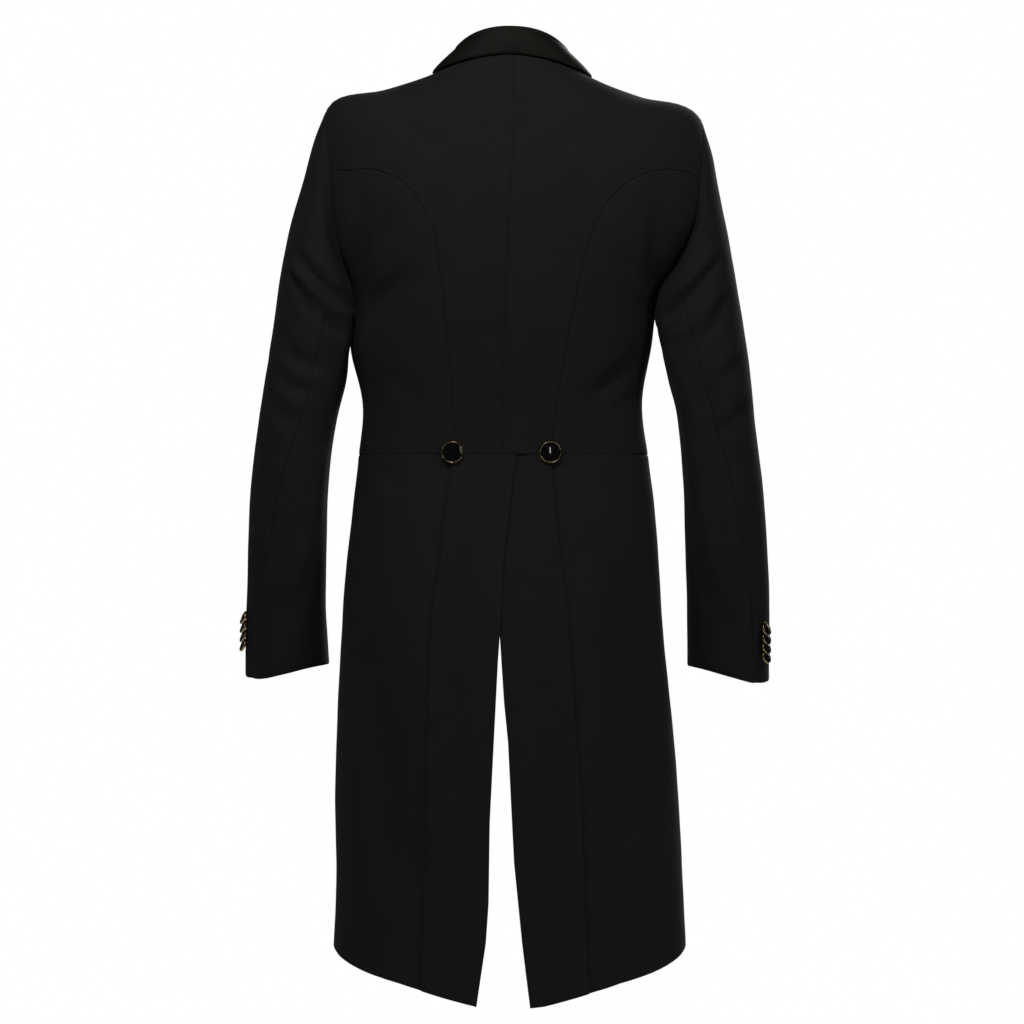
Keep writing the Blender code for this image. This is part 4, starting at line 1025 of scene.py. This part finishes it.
def turned(name, profile, finish, place):
    """Turn a profile of radius and height round its axis, closed at both ends, and place it."""
    verts, faces = [], []
    rings = []
    for radius, height in profile:
        if radius == 0.0:
            rings.append([len(verts)] * BUTTON_SIDES)
            verts.append(place @ Vector((0.0, 0.0, height)))
            continue
        rings.append(list(range(len(verts), len(verts) + BUTTON_SIDES)))
        for i in range(BUTTON_SIDES):
            a = 2 * math.pi * i / BUTTON_SIDES
            verts.append(place @ Vector((radius * math.cos(a), radius * math.sin(a), height)))
    for low, high in zip(rings[:-1], rings[1:]):
        for i in range(BUTTON_SIDES):
            after = (i + 1) % BUTTON_SIDES
            a, b, c, d = low[i], low[after], high[after], high[i]
            if a == b:
                faces.append((a, c, d))
            elif c == d:
                faces.append((a, b, c))
            else:
                faces.append((a, b, c, d))
    return add_mesh(name, verts, faces, [finish])


def arc(centre, radius, start, end, count):
    """Points of a profile on a part of a circle, by angle in degrees."""
    out = []
    for k in range(count + 1):
        a = math.radians(start + (end - start) * k / count)
        out.append((centre[0] + radius * math.cos(a), centre[1] + radius * math.sin(a)))
    return out


def build_button(name, radius, place, gold, black):
    """Make the gold cup and the black domed face of one button in place of their solids."""
    inside = radius - RIM_WALL
    cup = [(0.0, 0.0), (radius * 0.5, 0.0)] + arc((radius - 0.6, 0.6), 0.6, -90, 0, 5)
    cup += arc((radius - RIM_WALL / 2, CUP_HEIGHT - RIM_WALL / 2), RIM_WALL / 2, 0, 180, 10)
    cup += [(inside, CUP_FLOOR + 0.3), (inside - 0.3, CUP_FLOOR), (0.0, CUP_FLOOR)]
    edge = inside - FIT
    bottom = CUP_FLOOR + FIT
    low = CUP_HEIGHT - 0.6
    face = [(0.0, bottom), (edge - 0.2, bottom), (edge, bottom + 0.2), (edge, low - 0.25)]
    face += [(edge - 0.08, low - 0.08), (edge - 0.25, low)]
    for k in range(1, 9):
        f = 1 - k / 8
        face.append(((edge - 0.25) * f, low + FACE_DOME * (1 - f * f)))
    for part, profile, finish, slot in (("rim", cup, gold, "button_rim"),
                                        ("face", face, black, "button_face")):
        piece = turned(f"{name}_{part}_fine", profile, finish, place)
        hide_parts(f"{name}_{part}")
        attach(piece, "root")


def facing(point, outward, tilt=0.0):
    """The placement of a button at a point, facing outward, with its lower edge tilted out."""
    z_axis = Vector(outward).normalized()
    side_axis = Vector((0.0, 0.0, 1.0)).cross(z_axis).normalized()
    y_axis = z_axis.cross(side_axis)
    turn = Matrix((side_axis, y_axis, z_axis)).transposed().to_4x4()
    return Matrix.Translation(Vector(point)) @ turn @ Matrix.Rotation(math.radians(tilt), 4, "X")


def build_waist_buttons(gold, black):
    """Place the buttons of the waist and the front."""
    for buttons, seek, lift in ((WAIST_BUTTONS, find_seen, WAIST_BUTTON_LIFT),
                                (FRONT_BUTTONS, front_turn, FRONT_BUTTON_LIFT)):
        for button in buttons:
            place = seek(button.x, button.z)
            n = form_normal(*place)
            at = form(*place) + n * lift
            build_button(button.name, button.radius, facing(at, n), gold, black)


def build_cuff_buttons(gold, black):
    """Place the four buttons of each cuff."""
    for side in SIDE:
        for i in range(4):
            z = CUFF_TOP[side] - CUFF_STEP * i
            a = math.radians(CUFF_ANGLE[side])
            s = min(np.linspace(8.0, SLEEVE_LENGTH, 400),
                    key=lambda v: abs(sleeve_form(side, v, a)[2] - z))
            n = sleeve_normal(side, s, a)
            away = CUFF_RADIUS * math.sin(math.radians(CUFF_TILT)) + CUFF_GAP
            at = sleeve_form(side, s, a) + n * away
            build_button(f"cuff_{side}_{i + 1}", CUFF_RADIUS, facing(at, n, -CUFF_TILT), gold, black)


def build_body(side, finishes):
    """Make the back, side back and front of one half."""
    edges = body_edges(side)
    mitres = arm_mitres(side, edges)
    arm = edges["arm"]
    line = np.array([form(*place) for place in arm])
    right_edge = edges["shoulder"] + arm[1:ROWS_ARM_BACK + 1] + edges["back_seam"][1:]
    places = finer_rows(ruled(edges["centre"], right_edge, shares(*COLUMNS["back"])), ("bottom",))
    directions = {ROWS_SHOULDER + i: mitres[i] for i in range(ROWS_ARM_BACK + 1)}
    panel(f"back_{side}", places, finishes, None, ("start", "end"), ("top",), "bottom",
          ("end", directions), None, line)

    lower_arm = arm[ROWS_ARM_BACK:ROWS_ARM_BACK + ROWS_ARM_SIDE + 1]
    across = shares(*COLUMNS["side_back"])
    places = ruled(edges["back_seam"], lower_arm + edges["side_seam"][1:], across)
    directions = {i: mitres[ROWS_ARM_BACK + i] for i in range(ROWS_ARM_SIDE + 1)}
    first, second = form(*lower_arm[0]), form(*lower_arm[1])
    exact = [first + (second - first) * 0.4 * f for f in across]
    places[0] = [lower_arm[0] + (lower_arm[1] - lower_arm[0]) * 0.4 * f for f in across]
    places = finer_rows(places, ("bottom",))
    panel(f"side_back_{side}", places, finishes, None, ("start", "end"), (), "bottom",
          ("end", directions), exact, line)

    count = len(arm)
    places = finer_rows(front_places(side, edges), ("bottom",))
    directions = {ROWS_SHOULDER + i: mitres[(count - i) % count] for i in range(ROWS_ARM_FRONT + 1)}
    panel(f"front_{side}", places, finishes, front_lift if side == "right" else None, ("start",),
          ("end", "top"), "bottom", ("start", directions), None, line)


def build_sleeves(side, finishes):
    """Make the top and the under sleeve of one arm."""
    edges = body_edges(side)
    mitres = arm_mitres(side, edges)
    count = len(edges["arm"])
    under = list(range(UNDER_SLEEVE_FROM, UNDER_SLEEVE_TO + 1))
    top = list(range(UNDER_SLEEVE_TO, count + UNDER_SLEEVE_FROM + 1))
    sleeve_piece(f"under_sleeve_{side}", side, edges, mitres, under, finishes)
    sleeve_piece(f"top_sleeve_{side}", side, edges, mitres, top, finishes)


# Finishes
def linear(code):
    """Turn a colour code as a screen shows it into the values that a shader takes."""
    out = []
    for k in (0, 2, 4):
        c = int(code[k:k + 2], 16) / 255
        out.append(c / 12.92 if c <= 0.04045 else ((c + 0.055) / 1.055) ** 2.4)
    return (*out, 1.0)


def add(tree, kind, inputs, **settings):
    """Add a node with its settings, and set each input to a value or link it to a socket."""
    made = tree.nodes.new(kind)
    for key, value in settings.items():
        setattr(made, key, value)
    for key, value in inputs.items():
        if isinstance(value, bpy.types.NodeSocket):
            tree.links.new(value, made.inputs[key])
        else:
            made.inputs[key].default_value = value
    return made


# Patterns of a finish, with sizes in metres: grains of a size, or lines at a pitch that are
# turned by three angles in degrees
Grains = namedtuple("Grains", "size detail")
Lines = namedtuple("Lines", "pitch turn")
FUZZ_DARK = (0.25, 0.25, 0.25, 1.0)
FUZZ_LIGHT = (0.75, 0.75, 0.75, 1.0)


def new_finish(name, patterns, colours=None, rough=None, heights=(), fuzz=None, **values):
    """Make a material whose patterns lie on the object's coordinates.

    colours and rough are a pattern and the two colours or roughnesses that it goes between,
    heights the patterns that raise the surface, each with a strength and a height in metres, and
    fuzz a pattern that darkens and lightens the colour. values go on the shader's own sockets.
    """
    old = bpy.data.materials.get(name)
    if old:
        bpy.data.materials.remove(old)
    finish = bpy.data.materials.new(name)
    finish.use_nodes = True
    tree = finish.node_tree
    shader = tree.nodes["Principled BSDF"]
    for key, value in values.items():
        shader.inputs[key.replace("_", " ")].default_value = value
    place = add(tree, "ShaderNodeTexCoord", {}).outputs["Object"]
    made = {}
    for key, pattern in patterns.items():
        if isinstance(pattern, Lines):
            angles = tuple(math.radians(a) for a in pattern.turn)
            turned_place = add(tree, "ShaderNodeMapping", {"Vector": place, "Rotation": angles})
            turned_place = turned_place.outputs["Vector"]
            node = add(tree, "ShaderNodeTexWave", {
                "Vector": turned_place, "Scale": 2 * math.pi / (20 * pattern.pitch), "Distortion": 0.6,
                "Detail": 1.0, "Detail Scale": 2.0})
        else:
            node = add(tree, "ShaderNodeTexNoise", {
                "Vector": place, "Scale": 1.0 / pattern.size, "Detail": pattern.detail, "Roughness": 0.55})
        made[key] = node.outputs["Fac"]
    if colours:
        key, first, second = colours
        colour = add(tree, "ShaderNodeMix", {"Factor": made[key], "A": linear(first), "B": linear(second)},
                     data_type="RGBA").outputs["Result"]
        if fuzz:
            key, share = fuzz
            grey = add(tree, "ShaderNodeMix", {"Factor": made[key], "A": FUZZ_DARK, "B": FUZZ_LIGHT},
                       data_type="RGBA").outputs["Result"]
            colour = add(tree, "ShaderNodeMix", {"Factor": share, "A": colour, "B": grey},
                         data_type="RGBA", blend_type="OVERLAY").outputs["Result"]
        tree.links.new(colour, shader.inputs["Base Color"])
    if rough:
        key, low, high = rough
        spread = add(tree, "ShaderNodeMapRange", {
            "Value": made[key], "From Min": 0.3, "From Max": 0.7, "To Min": low, "To Max": high})
        tree.links.new(spread.outputs["Result"], shader.inputs["Roughness"])
    last = {}
    for key, strength, height in heights:
        bump = add(tree, "ShaderNodeBump", {
            "Height": made[key], "Strength": strength, "Distance": height, **last})
        last = {"Normal": bump.outputs["Normal"]}
    if last:
        tree.links.new(last["Normal"], shader.inputs["Normal"])
    return finish


def black_wool(code, nap):
    """Fine black wool twill: steep diagonal lines under a short, matt nap."""
    # The ribs and threads are drawn a little coarser than real ones, so that they show from here
    patterns = {
        "grain": Grains(0.0016, 3.0), "cloud": Grains(0.035, 2.0), "twill": Lines(0.0009, (0, 28, 18)),
    }
    return new_finish(
        "black_wool_twill", patterns, ("cloud", code, "191919"), ("cloud", 0.87, 0.92),
        (("twill", 0.25, 0.00012), ("grain", 0.4, 0.00022)), ("grain", 0.35), Specular_IOR_Level=0.2,
        Sheen_Weight=nap, Sheen_Roughness=0.4, Sheen_Tint=linear("6e6a6b"))


def satin_lining(code):
    """Black satin lining: smooth, with a soft gloss and very fine threads."""
    # The threads are drawn a little coarser than real ones, so that the sheen breaks up from here
    patterns = {
        "thread": Lines(0.0005, (0, 90, 0)), "cloud": Grains(0.02, 2.0), "wave": Grains(0.018, 2.0),
    }
    return new_finish(
        "black_satin_lining", patterns, None, ("cloud", 0.34, 0.46),
        (("thread", 0.15, 0.00005), ("wave", 0.25, 0.0012)),
        Base_Color=linear(code), Specular_IOR_Level=0.5, Sheen_Weight=0.1)


def dark_velvet(code, light_code):
    """Brushed velvet: a short dark pile that turns warm and light where it is seen aslant."""
    patterns = {"pile": Grains(0.0009, 2.0), "brushed": Grains(0.028, 2.0)}
    return new_finish(
        "dark_velvet", patterns, ("brushed", code, "1c1812"), ("brushed", 0.6, 0.78),
        (("brushed", 0.2, 0.0015), ("pile", 0.5, 0.0002)), Specular_IOR_Level=0.15,
        Sheen_Weight=0.22, Sheen_Roughness=0.32, Sheen_Tint=linear(light_code))


def collar_felt(code):
    """Wool felt under the collar: matt and hairy."""
    return new_finish(
        "black_felt", {"hair": Grains(0.0012, 4.0)}, ("hair", code, "242223"), None,
        (("hair", 0.6, 0.0003),), Specular_IOR_Level=0.15, Sheen_Weight=0.3, Roughness=0.95)


def gold_metal(code):
    """Polished yellow metal with faint rubbing marks."""
    patterns = {"rubbed": Grains(0.003, 3.0), "fine": Grains(0.0006, 2.0)}
    return new_finish(
        "polished_gold", patterns, ("rubbed", code, "a38d5e"), ("rubbed", 0.16, 0.3),
        (("fine", 0.12, 0.00004),), Metallic=1.0)


def gloss_black(code):
    """Black enamel with a deep gloss and the slightest waves."""
    patterns = {"cloud": Grains(0.004, 2.0), "wave": Grains(0.006, 1.0)}
    return new_finish(
        "gloss_black_enamel", patterns, None, ("cloud", 0.06, 0.12), (("wave", 0.1, 0.0004),),
        Base_Color=linear(code), Coat_Weight=0.6, Coat_Roughness=0.04)


def pale_floor(code):
    """Pale matt studio floor."""
    return new_finish(
        "pale_studio_floor", {"grain": Grains(0.05, 3.0)}, ("grain", code, "efeeeb"), ("grain", 0.7, 0.85))


# The scene's own pieces: floor, light and camera
FLOOR_Z = -1.25
FLOOR_RADIUS = 2.0
CAMERA_PLACE = (0.0, 6.19, -0.474)
CAMERA_LENS = 200.0
AMBIENT = 0.025
FLOOR_SIDES = 96
CHEST = (0.0, 0.0, -0.2)
Light = namedtuple("Light", "name place aim size power colour")
LIGHTS = (
    Light("light_key", (0.25, 1.2, 0.9), CHEST, (0.3, 0.3), 11.5, (1.0, 1.0, 1.0)),
    Light("light_left", (2.2, 1.5, 0.9), CHEST, (0.4, 0.9), 7.0, (1.0, 0.99, 0.97)),
    Light("light_right", (-2.3, 1.5, 1.0), CHEST, (0.4, 0.9), 14.0, (1.0, 0.99, 0.97)),
    Light("light_strip", (-0.75, 3.6, 0.15), (0.0, 0.1, -0.42), (0.14, 1.1), 5.0, (1.0, 0.98, 0.93)),
    Light("light_front", (-1.2, -2.8, 0.8), (0.0, 0.0, -0.45), (1.6, 2.0), 45.0, (1.0, 1.0, 1.0)),
)


def build_floor(finish):
    """Lay a round floor below the coat."""
    ring = []
    for i in range(FLOOR_SIDES):
        a = 2 * math.pi * i / FLOOR_SIDES
        ring.append((FLOOR_RADIUS * math.cos(a), FLOOR_RADIUS * math.sin(a), FLOOR_Z))
    mesh = bpy.data.meshes.new("floor")
    mesh.from_pydata(ring, [], [tuple(range(FLOOR_SIDES))])
    mesh.materials.append(finish)
    floor = bpy.data.objects.new("floor", mesh)
    bpy.context.scene.collection.objects.link(floor)


def build_light():
    """Light the coat softly from both sides, from above and from the front."""
    for row in LIGHTS:
        data = bpy.data.lights.new(row.name, "AREA")
        data.shape = "RECTANGLE"
        data.size, data.size_y = row.size
        data.energy = row.power
        data.color = row.colour
        light = bpy.data.objects.new(row.name, data)
        light.location = row.place
        light.rotation_euler = (Vector(row.aim) - Vector(row.place)).to_track_quat("-Z", "Y").to_euler()
        bpy.context.scene.collection.objects.link(light)
    world = bpy.data.worlds.new("pale_studio")
    world.use_nodes = True
    tree = world.node_tree
    back = tree.nodes["Background"]
    back.inputs["Color"].default_value = (1.0, 1.0, 1.0, 1.0)
    seen = add(tree, "ShaderNodeLightPath", {}).outputs["Is Camera Ray"]
    level = add(tree, "ShaderNodeMapRange", {"Value": seen, "To Min": AMBIENT, "To Max": 1.0})
    tree.links.new(level.outputs["Result"], back.inputs["Strength"])
    bpy.context.scene.world = world
    bpy.context.scene.view_settings.view_transform = "Standard"


def build_camera():
    """Look at the coat from behind, level, through a long lens."""
    data = bpy.data.cameras.new("camera")
    data.lens = CAMERA_LENS
    data.sensor_width = 36.0
    camera = bpy.data.objects.new("camera", data)
    camera.location = CAMERA_PLACE
    camera.rotation_euler = (math.radians(90.0), 0.0, math.radians(180.0))
    bpy.context.scene.collection.objects.link(camera)
    bpy.context.scene.camera = camera


class JacketSettings(bpy.types.PropertyGroup):
    """The finishes of the coat."""

    cloth_code: bpy.props.StringProperty(
        name="Cloth", description="Colour of the wool, as six hexadecimal digits", default="1b1b1b")
    velvet_code: bpy.props.StringProperty(
        name="Velvet", description="Colour of the collar's pile", default="080706")
    velvet_light_code: bpy.props.StringProperty(
        name="Velvet sheen", description="Colour of the collar's pile where it catches the light",
        default="6a5c42")
    lining_code: bpy.props.StringProperty(
        name="Lining", description="Colour of the satin lining", default="0f0e10")
    gold_code: bpy.props.StringProperty(
        name="Gold", description="Colour of the buttons' rims", default="bba576")
    enamel_code: bpy.props.StringProperty(
        name="Enamel", description="Colour of the buttons' faces", default="060606")
    floor_code: bpy.props.StringProperty(
        name="Floor", description="Colour of the floor", default="f6f5f2")
    nap: bpy.props.FloatProperty(
        name="Nap", description="How much the wool's short fibres catch the light", default=0.12,
        min=0.0, max=1.0, subtype="FACTOR")


def settings():
    """The settings of the present scene."""
    return bpy.context.scene.jacket_settings


def cloth_finishes():
    """The wool outside and the satin inside, made once."""
    wool = bpy.data.materials.get("black_wool_twill") or black_wool(settings().cloth_code, settings().nap)
    lining = bpy.data.materials.get("black_satin_lining") or satin_lining(settings().lining_code)
    return wool, lining


def button_finishes():
    """The gold and the black enamel of the buttons, made once."""
    gold = bpy.data.materials.get("polished_gold") or gold_metal(settings().gold_code)
    black = bpy.data.materials.get("gloss_black_enamel") or gloss_black(settings().enamel_code)
    return gold, black


class JACKET_OT_body(bpy.types.Operator):
    """Make the backs, side backs and fronts."""

    bl_idname = "jacket.body"
    bl_label = "Body"

    def execute(self, context):
        for side in SIDE:
            build_body(side, cloth_finishes())
        return {"FINISHED"}


class JACKET_OT_sleeves(bpy.types.Operator):
    """Make both sleeves."""

    bl_idname = "jacket.sleeves"
    bl_label = "Sleeves"

    def execute(self, context):
        for side in SIDE:
            build_sleeves(side, cloth_finishes())
        return {"FINISHED"}


class JACKET_OT_tails(bpy.types.Operator):
    """Make the back and side tails."""

    bl_idname = "jacket.tails"
    bl_label = "Tails"

    def execute(self, context):
        for side in SIDE:
            build_tails(side, cloth_finishes())
        return {"FINISHED"}


class JACKET_OT_collar(bpy.types.Operator):
    """Make the lapels and the velvet collar."""

    bl_idname = "jacket.collar"
    bl_label = "Collar and lapels"

    def execute(self, context):
        for side in SIDE:
            build_lapel(side, cloth_finishes())
        velvet = dark_velvet(settings().velvet_code, settings().velvet_light_code)
        build_collar(velvet, collar_felt(settings().cloth_code))
        return {"FINISHED"}


class JACKET_OT_buttons(bpy.types.Operator):
    """Make the buttons of the waist, the front and the cuffs."""

    bl_idname = "jacket.buttons"
    bl_label = "Buttons"

    def execute(self, context):
        build_waist_buttons(*button_finishes())
        build_cuff_buttons(*button_finishes())
        return {"FINISHED"}


class JACKET_OT_stage(bpy.types.Operator):
    """Make the floor, the light and the camera."""

    bl_idname = "jacket.stage"
    bl_label = "Stage"

    def execute(self, context):
        build_floor(pale_floor(settings().floor_code))
        build_light()
        build_camera()
        return {"FINISHED"}


class JACKET_PT_panel(bpy.types.Panel):
    """The coat's finishes and its steps."""

    bl_idname = "JACKET_PT_panel"
    bl_label = "Riding show jacket"
    bl_space_type = "VIEW_3D"
    bl_region_type = "UI"
    bl_category = "Jacket"

    def draw(self, context):
        for key in JacketSettings.__annotations__:
            self.layout.prop(context.scene.jacket_settings, key)
        for step in STEPS:
            self.layout.operator(step.bl_idname)


STEPS = (JACKET_OT_body, JACKET_OT_sleeves, JACKET_OT_tails, JACKET_OT_collar, JACKET_OT_buttons,
         JACKET_OT_stage)
CLASSES = (JacketSettings, *STEPS, JACKET_PT_panel)


def register():
    """Add the classes and the scene's settings."""
    for kind in CLASSES:
        bpy.utils.register_class(kind)
    bpy.types.Scene.jacket_settings = bpy.props.PointerProperty(type=JacketSettings)


def unregister():
    """Take the classes and the scene's settings away again."""
    del bpy.types.Scene.jacket_settings
    for kind in reversed(CLASSES):
        bpy.utils.unregister_class(kind)


def main():
    """Build the coat in order."""
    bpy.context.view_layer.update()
    register()
    bpy.ops.jacket.body()
    bpy.ops.jacket.sleeves()
    bpy.ops.jacket.tails()
    bpy.ops.jacket.collar()
    bpy.ops.jacket.buttons()
    bpy.ops.jacket.stage()
    bpy.context.view_layer.update()


if __name__ == "__main__":
    main()
